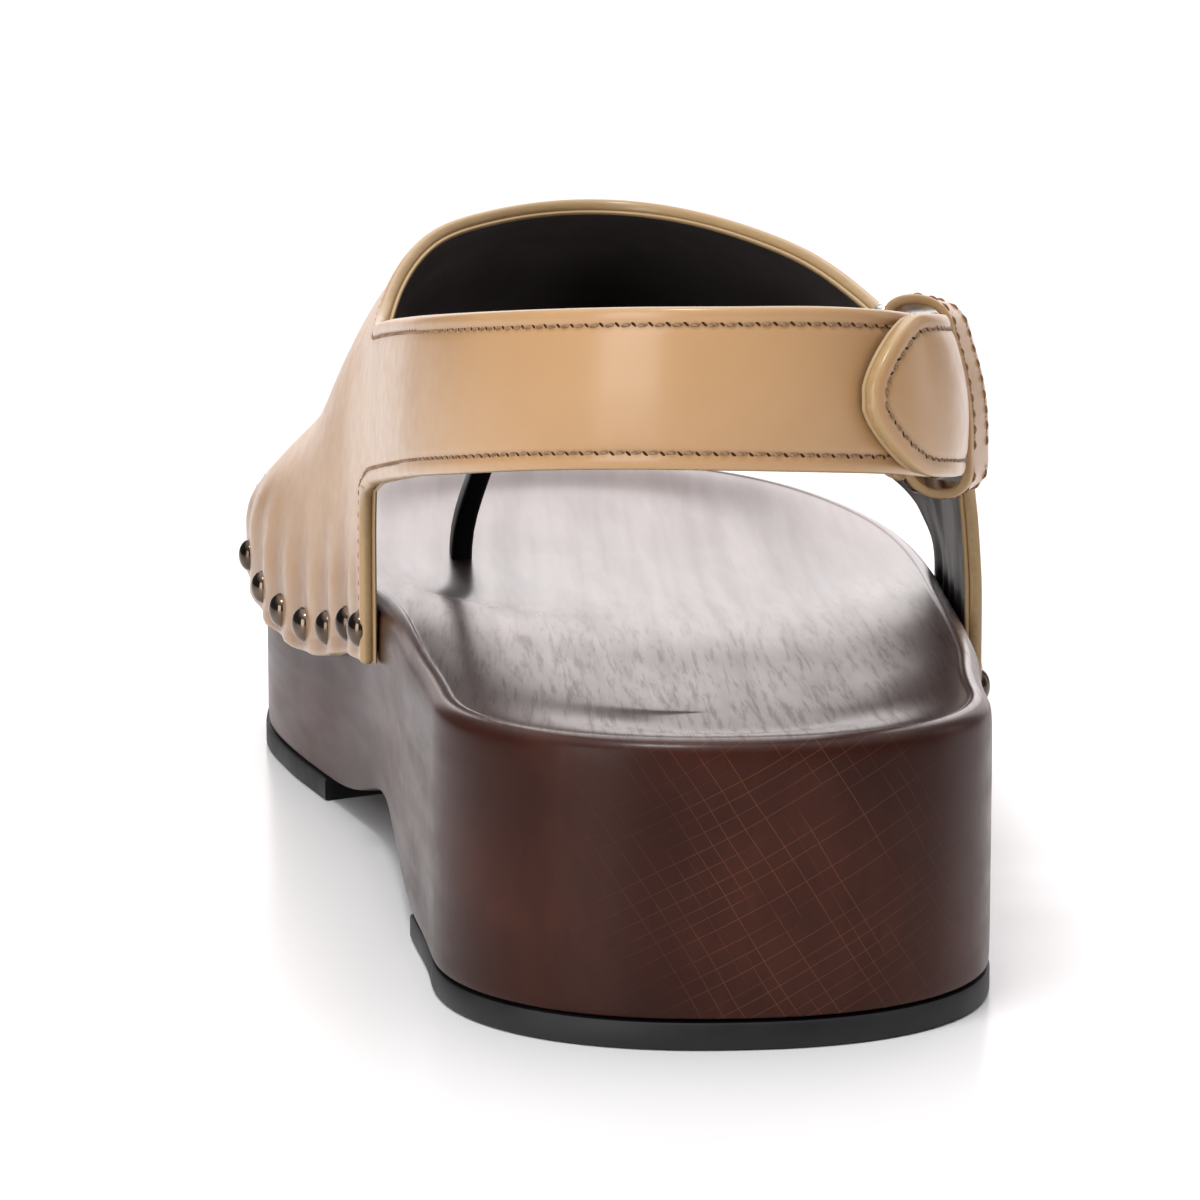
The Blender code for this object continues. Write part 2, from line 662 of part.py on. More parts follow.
def keeper_loop():
    """The leather loop that holds the buckle strap down on the slingback."""
    column = min(columns_along(spline(SLING, 6), MEDIAL)[60:], key=lambda c: abs(c.place.y - KEEPER_Y))
    out = Matrix.Rotation(math.radians(-KEEPER_TURN), 2) @ column.lean.normalized()
    lean, cup = column.lean.length, column.cup.length
    middle, half = (column.low + column.high) / 2 + KEEPER_RISE, (column.high - column.low) / 2
    outside = LAYER + LEATHER / 2 + GAP + KEEPER_LEATHER / 2 + 0.5
    inside = -(LEATHER / 2 + GAP + KEEPER_LEATHER / 2 + 1.2)
    radius = (outside - inside) / 2
    straight = KEEPER_HEIGHT / 2 - radius - KEEPER_LEATHER / 2
    flat_shares = [-0.9, -0.5, 0.0, 0.5, 0.9]
    line = [(outside - cup * (straight * k / half) ** 2, straight * k) for k in flat_shares]
    centre = (outside + inside) / 2 - cup * (straight / half) ** 2
    # The ends are a little squarer than half circles, to clear the corners of the straps.
    ends = []
    for angle in range(15, 166, 15):
        cosine, sine = math.cos(math.radians(angle)), math.sin(math.radians(angle))
        ends.append((radius * math.copysign(abs(cosine) ** KEEPER_SQUARE, cosine), radius * sine**KEEPER_SQUARE))
    line += [(centre + off, straight + rise) for off, rise in ends]
    line += [(inside - cup * (straight * k / half) ** 2, -straight * k) for k in flat_shares]
    line += [(centre - off, -straight - rise) for off, rise in ends]
    forward = Vector((-out.y, out.x, 0.0))
    frames = []
    for k, (off, rise) in enumerate(line):
        before, after = line[k - 1], line[(k + 1) % len(line)]
        tangent = Vector((after[0] - before[0], after[1] - before[1])).normalized()
        normal = Vector((tangent.y, -tangent.x))
        shift = off - lean * rise
        place = Vector((column.place.x + out.x * shift, column.place.y + out.y * shift, middle + rise))
        level = normal.x - lean * normal.y
        frames.append((place, forward, Vector((out.x * level, out.y * level, normal.y))))
    half_width, half_thick = KEEPER_WIDTH / 2, KEEPER_LEATHER / 2
    profile = [
        (-half_width, -half_thick),
        (half_width, -half_thick),
        (half_width, half_thick),
        (-half_width, half_thick),
    ]
    return swept_loop("keeper_loop", frames, profile)


def buckle_place(along_share, height, off_plane=0.0):
    """A point in the buckle's own plane: 0 at the heel bar and 1 at the bar over the strap."""
    along = OVER_BAR - HEEL_BAR
    outside = Vector((along.y, -along.x)).normalized()
    middle = HEEL_BAR + along * along_share + outside * off_plane
    z = (BUCKLE_LOW + BUCKLE_HIGH) / 2 + height
    return Vector((middle.x - BUCKLE_LEAN * height, middle.y, z))


def buckle_frame():
    """The rectangular frame, a rounded square bar bent to shape."""
    span = (OVER_BAR - HEEL_BAR).length
    half_height = (BUCKLE_HEIGHT - BAR) / 2
    corner = 1.6
    line = []
    corners = [(span, half_height, 0), (0.0, half_height, 90), (0.0, -half_height, 180), (span, -half_height, 270)]
    for x, z, start in corners:
        centre_x = x - corner * (1 if x > 0 else -1)
        centre_z = z - corner * (1 if z > 0 else -1)
        for angle in (0, 30, 60, 90):
            turn = math.radians(start + angle)
            line.append((centre_x + corner * math.cos(turn), centre_z + corner * math.sin(turn)))
    direction = (OVER_BAR - HEEL_BAR).normalized()
    across = Vector((direction.y, -direction.x, 0.0))
    frames = []
    for k, (x, z) in enumerate(line):
        before, after = line[k - 1], line[(k + 1) % len(line)]
        tangent = Vector((after[0] - before[0], after[1] - before[1])).normalized()
        normal = (tangent.y, -tangent.x)
        away = Vector((direction.x * normal[0] - BUCKLE_LEAN * normal[1], direction.y * normal[0], normal[1]))
        frames.append((buckle_place(x / span, z), across, away))
    half, cut = BAR / 2, 0.45
    profile = [
        (-half, -half + cut),
        (-half + cut, -half),
        (half - cut, -half),
        (half, -half + cut),
        (half, half - cut),
        (half - cut, half),
        (-half + cut, half),
        (-half, half - cut),
    ]
    return swept_loop("buckle_frame", frames, profile)


def buckle_prong():
    """The prong: an eye round the heel bar and a pin that rests on the other bar."""
    span = (OVER_BAR - HEEL_BAR).length
    eye = BAR / 2 * 1.15 + GAP + 0.7
    path = []
    for angle in range(-60, -281, -20):
        turn = math.radians(angle)
        path.append((eye * math.cos(turn), eye * math.sin(turn)))
    path += [(2.6, 2.0), (5.0, 1.85), (8.0, 2.0), (span, 2.2), (span + 1.8, 2.05)]
    frames = []
    direction = (OVER_BAR - HEEL_BAR).normalized()
    outside = Vector((direction.y, -direction.x))
    for k, (p, q) in enumerate(path):
        before, after = path[max(k - 1, 0)], path[min(k + 1, len(path) - 1)]
        tangent = Vector((after[0] - before[0], after[1] - before[1])).normalized()
        side = direction * -tangent.y + outside * tangent.x
        frames.append((buckle_place(p / span, 0.0, q), Vector((side.x, side.y, 0.0)), Vector((0, 0, 1))))
    radius = 0.7
    profile = [
        (radius * math.cos(math.radians(a)), radius * math.sin(math.radians(a))) for a in range(0, 360, 45)
    ]
    return swept("buckle_prong", frames, profile)


def dome_mesh():
    """One stud's head: a low dome with a flat back, its axis along +X."""
    bm = bmesh.new()
    radius, count = STUD_DIAMETER / 2, 14
    rings = []
    for angle in (0, 28, 56, 76):
        turn = math.radians(angle)
        r, x = radius * math.cos(turn), STUD_HEIGHT * math.sin(turn)
        circle = [math.tau * k / count for k in range(count)]
        rings.append([bm.verts.new((x, r * math.cos(a), r * math.sin(a))) for a in circle])
    bridge_rings(bm, rings)
    bm.faces.new(rings[0])
    bm.faces.new(rings[-1])
    bmesh.ops.recalc_face_normals(bm, faces=bm.faces)
    bmesh.ops.scale(bm, vec=(MM, MM, MM), verts=bm.verts)
    mesh = bpy.data.meshes.new("stud")
    bm.to_mesh(mesh)
    bm.free()
    mesh.shade_smooth()
    return mesh


def studs():
    """Dome-headed nails in a row along each side of the vamp."""
    mesh = dome_mesh()
    made = []
    for side, label in ((MEDIAL, "medial"), (LATERAL, "lateral")):
        first, last, count = STUD_ROW[side]
        for k in range(count):
            y = first + (last - first) * k / (count - 1)
            out = outward(side, y)
            off = GAP + LEATHER + GAP
            stud = bpy.data.objects.new(f"stud_{label}_{k + 1}", mesh)
            place = (side_x(side, y) + out.x * off, y + out.y * off, NAILED_AT[side]["studs"](y))
            stud.location = Vector(place) * MM
            stud.rotation_euler = (0.0, 0.0, math.atan2(out.y, out.x))
            bpy.context.scene.collection.objects.link(stud)
            stud.parent = bpy.data.objects["clog"]
            made.append(stud)
    return made


def build():
    clear_scene()
    clog = bpy.data.objects.new("clog", None)
    clog.location = Vector((-FOOTPRINT_MIDDLE[0], -FOOTPRINT_MIDDLE[1], 0.0)) * MM
    bpy.context.scene.collection.objects.link(clog)

    wood = material("dark lacquered wood", (0.055, 0.018, 0.013), 0.25)
    rubber = material("black rubber", (0.02, 0.02, 0.022), 0.7)
    leather = material("tan box leather", (0.62, 0.40, 0.22), 0.35)
    lining = material("black lining leather", (0.018, 0.016, 0.017), 0.5)
    dark_metal = material("polished dark metal", (0.30, 0.26, 0.22), 0.15, 1.0)
    silver = material("polished silver metal", (0.80, 0.79, 0.77), 0.12, 1.0)

    wooden_sole().data.materials.append(wood)
    tread("outsole_heel", 0.0, HEEL_TREAD_END, 0.1).data.materials.append(rubber)
    front_tread = tread("outsole_front", FRONT_TREAD_START, LENGTH, -0.2)
    front_tread.data.materials.append(rubber)
    hollow_rear_edge(front_tread, FRONT_TREAD_START + 0.5, TREAD_CURVE)
    upper().data.materials.append(leather)
    toe_post().data.materials.append(lining)
    keeper_loop().data.materials.append(leather)
    buckle_frame().data.materials.append(silver)
    buckle_prong().data.materials.append(silver)
    for stud in studs():
        if not stud.data.materials:
            stud.data.materials.append(dark_metal)


build()
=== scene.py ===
"""The looks of a right-foot thong clog with a slingback strap: a lacquered wooden sole with rubber
treads, a nailed vamp of tan box leather lined in black, a toe post, and a strap round the heel that
closes with a small side buckle.

Tables are in millimetres on the last: +Y from the back of the heel to the toe, +X to the outer side of
the foot, +Z up from the floor.
"""

import json
import math
from bisect import bisect_left, bisect_right
from collections import namedtuple
from contextlib import contextmanager
from itertools import accumulate

import bmesh
import bpy
from mathutils import Matrix, Vector
from mathutils.bvhtree import BVHTree
from mathutils.kdtree import KDTree

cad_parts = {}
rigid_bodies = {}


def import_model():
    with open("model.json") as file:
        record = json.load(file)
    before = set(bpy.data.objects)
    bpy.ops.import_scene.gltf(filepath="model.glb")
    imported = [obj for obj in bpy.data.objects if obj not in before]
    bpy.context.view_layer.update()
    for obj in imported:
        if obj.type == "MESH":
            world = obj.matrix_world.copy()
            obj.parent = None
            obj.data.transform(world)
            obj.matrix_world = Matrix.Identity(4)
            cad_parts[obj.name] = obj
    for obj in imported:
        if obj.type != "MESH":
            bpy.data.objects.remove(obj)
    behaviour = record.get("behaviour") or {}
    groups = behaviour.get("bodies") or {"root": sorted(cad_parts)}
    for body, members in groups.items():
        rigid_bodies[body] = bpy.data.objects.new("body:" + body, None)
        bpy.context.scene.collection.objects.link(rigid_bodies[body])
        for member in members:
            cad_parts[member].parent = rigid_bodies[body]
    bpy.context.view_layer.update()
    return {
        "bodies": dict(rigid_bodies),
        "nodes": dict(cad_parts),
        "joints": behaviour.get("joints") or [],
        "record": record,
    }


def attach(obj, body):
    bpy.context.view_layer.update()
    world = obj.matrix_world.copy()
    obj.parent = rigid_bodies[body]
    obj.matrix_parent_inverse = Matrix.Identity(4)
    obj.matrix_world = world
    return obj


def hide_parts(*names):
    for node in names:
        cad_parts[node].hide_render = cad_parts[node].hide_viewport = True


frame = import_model()

# === The wooden sole ==============================================================================
# One block of light wood carved to a rounded rim, a hollowed footbed and a low arch. It is stained
# dark red-brown and lacquered, so the heel shows the end of the grain and the footbed its length.

MM = 0.001
MEDIAL, LATERAL = -1, 1
LAST_ZERO = Vector((1.93, -127.04, 0.0))  # the last's origin in the frame
LENGTH, HEEL_ROUND, TOE_ROUND = 256.0, 34.0, 68.0
HEEL_X, TOE_X = 1.4, -3.0
BALL = {MEDIAL: 188.0, LATERAL: 165.0}
HEEL_CURVE, TOE_CURVE = 2.25, {MEDIAL: 2.2, LATERAL: 2.3}
LIP_RADIUS, LIP_WIDTH, FOOTBED_DROP = 2.3, 2.7, 0.3
# How far in from the rim the footbed falls to its full depth: at the outer side, the rear, and the
# inner side of the heel and of the front, and where that inner side changes.
BOWL_OUTER, BOWL_REAR, BOWL_INNER_HEEL, BOWL_INNER_FRONT = 18.0, 13.0, 30.0, 20.0
BOWL_CHANGE, BOWL_CHANGE_SPAN = 115.0, 25.0

Station = namedtuple("Station", "y medial lateral lip dish under")
SOLE = [
    Station(0, -31.0, 34.3, 34.7, 0.9, 3.4),
    Station(34, -31.0, 34.3, 34.8, 2.7, 3.4),
    Station(57, -32.5, 37.3, 34.9, 3.8, 3.4),
    Station(80, -33.5, 39.3, 34.9, 4.4, 7.2),
    Station(98, -34.2, 40.8, 34.5, 4.3, 9.6),
    Station(116, -35.6, 42.4, 33.8, 4.2, 7.0),
    Station(134, -38.9, 44.2, 32.9, 4.3, 3.4),
    Station(150, -42.6, 45.2, 32.6, 4.6, 3.4),
    Station(165, -45.9, 45.6, 32.6, 4.6, 3.4),
    Station(188, -48.9, 44.7, 32.7, 4.4, 3.4),
    Station(205, -48.9, 42.3, 32.9, 3.8, 4.3),
    Station(230, -48.9, 34.4, 33.6, 3.0, 8.0),
    Station(256, -48.9, 0.0, 34.4, 1.5, 13.0),
]


def smooth_curve(stations, values):
    """A function through the given points that never overshoots between them."""
    steps = [(v1 - v0) / (s1 - s0) for s0, s1, v0, v1 in zip(stations, stations[1:], values, values[1:])]
    inner = [0.0 if a * b <= 0 else 2 * a * b / (a + b) for a, b in zip(steps, steps[1:])]
    slopes = [steps[0], *inner, steps[-1]]

    def value(at):
        at = min(max(at, stations[0]), stations[-1])
        i = max(bisect_left(stations, at) - 1, 0)
        span = stations[i + 1] - stations[i]
        t = (at - stations[i]) / span
        start = values[i] * (1 + 2 * t) + slopes[i] * span * t
        end = values[i + 1] * (3 - 2 * t) + slopes[i + 1] * span * (t - 1)
        return start * (1 - t) ** 2 + end * t * t

    return value


def columns(table, first="y"):
    """One smooth function for each column of a table, over its first column."""
    at = [getattr(row, first) for row in table]
    return {name: smooth_curve(at, [getattr(row, name) for row in table]) for name in table[0]._fields[1:]}


SOLE_AT = columns(SOLE)


def share_of(value, start, span):
    """How far a value has come through a span, from 0 to 1."""
    return min(1.0, max(0.0, (value - start) / span))


def round_end(share, exponent):
    """Half-width of a rounded end, 1 where share is 0 and 0 where share is 1."""
    return max(0.0, 1 - share**exponent) ** (1 / exponent)


def side_x(side, y):
    """The sole's outline on one side."""
    width = SOLE_AT["medial" if side == MEDIAL else "lateral"]
    if y < HEEL_ROUND:
        return HEEL_X + (width(HEEL_ROUND) - HEEL_X) * round_end(1 - y / HEEL_ROUND, HEEL_CURVE)
    if y > BALL[side]:
        share = share_of(y, BALL[side], LENGTH - BALL[side])
        return TOE_X + (width(BALL[side]) - TOE_X) * round_end(share, TOE_CURVE[side])
    return width(y)


def outward(side, y, step=0.5):
    """Unit vector across the outline, away from the sole."""
    if y <= 0.0 or y >= LENGTH:
        return Vector((0.0, -1.0 if y <= 0.0 else 1.0))
    low, high = max(y - step, 0.0), min(y + step, LENGTH)
    along = Vector((side_x(side, high) - side_x(side, low), high - low))
    return Vector((along.y, -along.x)).normalized() * side


def outline_stations(start=0.0, end=LENGTH, finer=1):
    """Stations along the sole, closer together round the heel and the toe."""
    heel = [HEEL_ROUND * (1 - math.cos(math.radians(a / finer))) for a in range(0, 90 * finer, 10)]
    toe = [LENGTH - TOE_ROUND * (1 - math.sin(math.radians(a / finer))) for a in range(0, 90 * finer + 1, 9)]
    count = 15 * finer
    middle = [HEEL_ROUND + (toe[0] - HEEL_ROUND) * i / count for i in range(count)]
    return [start] + [y for y in heel + middle + toe if start < y < end] + [end]


def ring(stations, inset, pull=1.0):
    """Points round the outline: up the medial side and back down the lateral side, moved in by
    inset, and then pulled towards the spine of the sole (1 is not at all, 0 is onto it)."""
    points = []
    for side, order in ((MEDIAL, stations), (LATERAL, stations[::-1])):
        for y in order:
            edge = Vector((side_x(side, y), y)) - outward(side, y) * inset
            spine_y = min(max(y, HEEL_ROUND), BALL[MEDIAL])
            spine = Vector(((side_x(MEDIAL, spine_y) + side_x(LATERAL, spine_y)) / 2, spine_y))
            points.append(spine + (edge - spine) * pull)
    return points


def footbed_ring(stations, pull):
    """A ring of the footbed. It falls from the rim in a smooth step, steep on the outer side and at
    the heel and gentle on the inner side of the heel."""
    points = []
    for edge, p in zip(ring(stations, LIP_WIDTH), ring(stations, LIP_WIDTH, pull)):
        away = edge - p
        across = away.x / away.length
        front = share_of(p.y, BOWL_CHANGE, BOWL_CHANGE_SPAN)
        inner = BOWL_INNER_HEEL + (BOWL_INNER_FRONT - BOWL_INNER_HEEL) * front
        reach = BOWL_REAR + ((BOWL_OUTER if across > 0 else inner) - BOWL_REAR) * across**2
        left = max(0.0, 1 - away.length / reach)
        depth = 1 - left**2 * (3 - 2 * left)
        points.append((p.x, p.y, SOLE_AT["lip"](p.y) - FOOTBED_DROP - SOLE_AT["dish"](p.y) * depth))
    return points


def in_frame(point):
    """A point of the last, in the frame and in metres."""
    return (Vector(point) + LAST_ZERO) * MM


def only(obj):
    """Leaves one object selected and active."""
    bpy.ops.object.select_all(action="DESELECT")
    obj.select_set(True)
    bpy.context.view_layer.objects.active = obj
    return obj


def primitive(operator, name=None, **settings):
    """A new primitive, the only thing selected."""
    bpy.ops.object.select_all(action="DESELECT")
    operator(**settings)
    obj = bpy.context.object
    if name:
        obj.name = obj.data.name = name
    return obj


@contextmanager
def editing(obj, selected="DESELECT"):
    """Edit mode on one object, begun with nothing or everything selected."""
    only(obj)
    bpy.ops.object.mode_set(mode="EDIT")
    bpy.ops.mesh.select_all(action=selected)
    yield
    bpy.ops.object.mode_set(mode="OBJECT")


def select_where(obj, kind, wanted):
    """Selects the vertices, edges or faces of the mesh in edit mode that pass a test."""
    bm = bmesh.from_edit_mesh(obj.data)
    for element in getattr(bm, kind):
        element.select = wanted(element)
    if kind == "verts":
        bm.select_mode = {"VERT"}
        bm.select_flush(True)
    bmesh.update_edit_mesh(obj.data)


def faces_outwards():
    """Turns every face of the mesh in edit mode outwards."""
    bpy.ops.mesh.select_all(action="SELECT")
    bpy.ops.mesh.normals_make_consistent(inside=False)


def store(obj, name, values, kind="FLOAT"):
    """Stores a value for each vertex as an attribute."""
    obj.data.attributes.new(name, kind, "POINT").data.foreach_set("value", values)


def set_drawn(obj, points):
    """Moves the selected vertices of the mesh in edit mode to their places, each by its number."""
    bm = bmesh.from_edit_mesh(obj.data)
    number = bm.verts.layers.int["number"]
    for vert in bm.verts:
        if vert.select:
            vert.co = in_frame(points[vert[number]])
    bmesh.update_edit_mesh(obj.data)


def draw_on(obj, rings):
    """Extrudes the selected line of vertices through a row of lines."""
    for points in rings:
        bpy.ops.mesh.extrude_edges_move()
        set_drawn(obj, points)


def draw_out(name, rings, ends="open"):
    """A ring of vertices extruded through a row of rings. Its ends stay open, are filled, or join."""
    obj = primitive(bpy.ops.mesh.primitive_circle_add, name, vertices=len(rings[0]), radius=MM)
    store(obj, "number", range(len(rings[0])), "INT")
    with editing(obj, "SELECT"):
        set_drawn(obj, rings[0])
        draw_on(obj, rings[1:])
        if ends == "join":
            bpy.ops.mesh.select_all(action="DESELECT")
            bpy.ops.mesh.select_non_manifold()
            bpy.ops.mesh.bridge_edge_loops()
        bpy.ops.mesh.select_all(action="SELECT")
        bpy.ops.mesh.remove_doubles(threshold=0.00001)
        if ends == "fill":
            bpy.ops.mesh.fill_holes(sides=0)
        faces_outwards()
    return obj


def finished(obj, kind, **settings):
    """Adds a modifier with these settings and applies it."""
    only(obj)
    added = obj.modifiers.new(kind.lower(), kind)
    for key, value in settings.items():
        setattr(added, key, value)
    bpy.ops.object.modifier_apply(modifier=added.name)
    return obj


def sole_layers():
    """Rings from the spine of the underside, out and up the wall, over the rim and in to the spine of
    the footbed."""
    stations = outline_stations()
    under, lip = SOLE_AT["under"], SOLE_AT["lip"]
    layers = []

    def add(inset, height, pull=1.0):
        layers.append([(p.x, p.y, height(p.y)) for p in ring(stations, inset, pull)])

    for pull in (0.0, 0.35, 0.7, 1.0):
        add(1.0, under, pull)
    add(0.15, lambda y: under(y) + 0.12)
    add(0.0, lambda y: under(y) + 0.6)
    for share in (0.33, 0.67, 1.0):
        add(0.0, lambda y: under(y) * (1 - share) + (lip(y) - LIP_RADIUS) * share)
    for angle in (30, 60, 90):
        turn = math.radians(angle)
        add(LIP_RADIUS * (1 - math.cos(turn)), lambda y: lip(y) - LIP_RADIUS * (1 - math.sin(turn)))
    add(LIP_WIDTH, lambda y: lip(y) - FOOTBED_DROP)
    add(LIP_WIDTH + 0.3, lambda y: lip(y) - FOOTBED_DROP - 0.04)
    layers += [footbed_ring(stations, p) for p in (0.95, 0.89, 0.82, 0.74, 0.65, 0.55, 0.42, 0.2, 0.0)]
    return layers


def node(tree, kind, inputs=(), **settings):
    """A shader node with its settings and inputs; an input may be a value or another node's output."""
    made = tree.nodes.new(kind)
    for key, value in settings.items():
        setattr(made, key, value)
    for key, value in dict(inputs).items():
        if isinstance(value, bpy.types.NodeSocket):
            tree.links.new(value, made.inputs[key])
        else:
            made.inputs[key].default_value = value
    return made


def maths(operation, first, *others):
    """Values combined one after another by Math nodes. The first of them is a node's output."""
    for other in others:
        first = node(first.id_data, "ShaderNodeMath", {0: first, 1: other}, operation=operation).outputs[0]
    return first


def times(first, *others):
    """The product of values."""
    return maths("MULTIPLY", first, *others)


def plus(first, *others):
    """The sum of values."""
    return maths("ADD", first, *others)


def rest_of(share):
    """What a share leaves of 1."""
    return plus(times(share, -1.0), 1.0)


def ramp(value, low, high, start=0.0, end=1.0):
    """The value taken smoothly from start, where it is low, to end, where it is high."""
    places = {"Value": value, "From Min": low, "From Max": high, "To Min": start, "To Max": end}
    return node(value.id_data, "ShaderNodeMapRange", places, interpolation_type="SMOOTHSTEP").outputs[0]


def mixed(share, first, second):
    """The output of a colour mix."""
    first, second = [(*c, 1.0) if isinstance(c, tuple) else c for c in (first, second)]
    inputs = {0: share, 6: first, 7: second}
    return node(share.id_data, "ShaderNodeMix", inputs, data_type="RGBA").outputs[2]


def attribute(tree, name):
    """A value stored on the vertices."""
    return node(tree, "ShaderNodeAttribute", attribute_name=name).outputs["Fac"]


def spread(tree, scale, turn=(0.0, 0.0, 0.0), shift=(0.0, 0.0, 0.0)):
    """Object coordinates, turned, then scaled and moved."""
    place = node(tree, "ShaderNodeTexCoord").outputs["Object"]
    turned = node(tree, "ShaderNodeMapping", {"Vector": place, "Rotation": turn}).outputs[0]
    scale = scale if isinstance(scale, tuple) else (scale, scale, scale)
    inputs = {"Vector": turned, "Location": shift, "Scale": scale}
    return node(tree, "ShaderNodeMapping", inputs).outputs[0]


def noise(tree, over, detail=2.0, roughness=0.5, turn=(0.0, 0.0, 0.0)):
    """Grey noise over a vector, or over object space turned and then scaled."""
    vector = over if isinstance(over, bpy.types.NodeSocket) else spread(tree, over, turn)
    inputs = {"Vector": vector, "Scale": 1.0, "Detail": detail, "Roughness": roughness}
    return node(tree, "ShaderNodeTexNoise", inputs).outputs["Fac"]


def new_material(name, **constants):
    """A new material, its node tree and its shader, with these constants set on the shader."""
    made = bpy.data.materials.new(name)
    made.use_nodes = True
    shader = made.node_tree.nodes["Principled BSDF"]
    for key, value in constants.items():
        shader.inputs[key.replace("_", " ")].default_value = value
    return made, made.node_tree, shader


def feed(shader, **fields):
    """Links values that vary over the surface to the shader's inputs."""
    for key, field in fields.items():
        shader.id_data.links.new(field, shader.inputs[key.replace("_", " ")])


def bumped(shader, height, strength, distance):
    """Raises the surface by a height that varies over it."""
    inputs = {"Height": height, "Strength": strength, "Distance": distance}
    feed(shader, Normal=node(shader.id_data, "ShaderNodeBump", inputs).outputs[0])


GRAIN_TURN = (0.0, math.radians(28.0), 0.0)  # the rays' slope on the back of the heel
GRAIN_LEAN = (0.0, 0.0, math.radians(3.0))  # the grain runs a little off the line of the sole
RING_GAP, RAY_GAP = 1.9, 1.7  # between growth rings and between rays, in millimetres
LINE_WIDTH = 0.042  # as a share of the gap
STAIN, STAIN_LIGHT, STAIN_DARK = (0.031, 0.0095, 0.0065), (0.06, 0.0185, 0.0115), (0.030, 0.009, 0.006)
LINE_COLOUR, PORE_COLOUR = (0.23, 0.082, 0.036), (0.012, 0.005, 0.004)


def lacquered_wood():
    """Stained wood under clear lacquer. Growth rings and rays are thin lighter lines across the end of
    the grain, and both run along the sole, where pores make short dark streaks."""
    made, tree, shader = new_material(
        "lacquered wood", IOR=1.22, Specular_IOR_Level=0.5, Coat_Roughness=0.22
    )
    worn = attribute(tree, "footbed")
    block = spread(tree, 1000.0, GRAIN_TURN, (60.0, 0.0, 30.0))
    across, _, up = node(tree, "ShaderNodeSeparateXYZ", {0: block}).outputs
    x, y, _ = node(tree, "ShaderNodeSeparateXYZ", {0: spread(tree, 1000.0)}).outputs
    bend = times(noise(tree, (30.0, 6.0, 30.0)), 3.0)

    def lines(place, gap, breaks):
        """Thin lines at uneven gaps, broken up along their length."""
        inputs = {"W": maths("DIVIDE", place, gap), "Scale": 1.0, "Randomness": 0.85}
        settings = {"voronoi_dimensions": "1D", "feature": "DISTANCE_TO_EDGE"}
        from_edge = node(tree, "ShaderNodeTexVoronoi", inputs, **settings).outputs["Distance"]
        shown = ramp(noise(tree, breaks, 1.0, turn=GRAIN_TURN), 0.38, 0.52)
        return times(ramp(from_edge, 0.0, LINE_WIDTH, 1.0, 0.0), shown)

    rings = lines(plus(across, times(up, up, 0.001), bend), RING_GAP, (520.0, 20.0, 34.0))
    rays = lines(plus(up, times(bend, 0.6)), RAY_GAP, (34.0, 20.0, 600.0))
    heel_face = times(ramp(x, -19.0, 2.0), ramp(x, 15.0, 31.0, 1.0, 0.1), rest_of(worn))
    patches = ramp(noise(tree, (40.0, 10.0, 40.0)), 0.35, 0.6, 0.35, 1.0)
    both = times(maths("MAXIMUM", rings, rays), patches, heel_face)
    tone = noise(tree, (45.0, 9.0, 45.0), 3.0)
    pores = noise(tree, (1300.0, 60.0, 260.0), 3.0, 0.7, GRAIN_LEAN)
    open_pores = times(plus(worn, 0.3), ramp(y, -90.0, 30.0, 1.0, 0.12))
    streaks = times(ramp(pores, 0.46, 0.68), open_pores)
    bands = noise(tree, (260.0, 4.0, 110.0), turn=GRAIN_LEAN)
    stain = mixed(ramp(tone, 0.3, 0.7), STAIN, STAIN_LIGHT)
    stain = mixed(ramp(bands, 0.35, 0.65, 0.0, 0.35), stain, STAIN_DARK)
    stain = mixed(times(both, 0.42), stain, LINE_COLOUR)
    stain = mixed(times(streaks, 0.25), stain, PORE_COLOUR)
    fine = noise(tree, (260.0, 30.0, 260.0))
    gloss = plus(ramp(fine, 0.3, 0.7, 0.29, 0.35), times(streaks, 0.1))
    polish = times(worn, rest_of(times(streaks, 0.22)), ramp(bands, 0.35, 0.7, 1.0, 0.82))
    feed(shader, Base_Color=stain, Roughness=gloss, Coat_Weight=polish)
    return made


sole = finished(draw_out("wooden_sole", sole_layers()), "SUBSURF", levels=2, render_levels=2)
bpy.ops.object.shade_smooth()
# 1 on the footbed and 0 on the wall, with a little of the footbed's polish on the rim between them.
upward = [v.normal.z for v in sole.data.vertices]
store(sole, "footbed", [max(share_of(z, 0.88, 0.05), 0.22 * share_of(z, 0.3, 0.3)) for z in upward])
sole.data.materials.append(lacquered_wood())
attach(sole, "root")
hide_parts("sole_wood")

# === The rubber treads ============================================================================
# Two pieces of black rubber sheet glued under the heel and under the forefoot. The front one is cut
# to a hollow arc at the arch and follows the toe as it rises.

TREAD, GAP = 3.1, 0.3
HEEL_TREAD_END, FRONT_TREAD_START, TREAD_CURVE = 57.0, 142.5, 13.0


def tread(name, start, end, inset):
    """A sheet of rubber under part of the sole, its lower edge slightly rounded."""
    stations = outline_stations(start, end, 3)

    def level(extra, drop, pull=1.0):
        points = ring(stations, inset + extra, pull)
        return [(p.x, p.y, max(SOLE_AT["under"](p.y) - drop, 0.0)) for p in points]

    bottom = GAP + TREAD
    layers = [level(0.5, bottom, pull) for pull in (0.0, 0.5, 1.0)]
    layers += [level(0.15, bottom - 0.15), level(0.0, bottom - 0.5), level(0.0, GAP + 0.25)]
    layers += [level(0.2, GAP - 0.02), level(0.5, GAP - 0.02, 0.0)]
    made = draw_out(name, layers)
    bpy.ops.object.shade_smooth_by_angle(angle=math.radians(40))
    return made


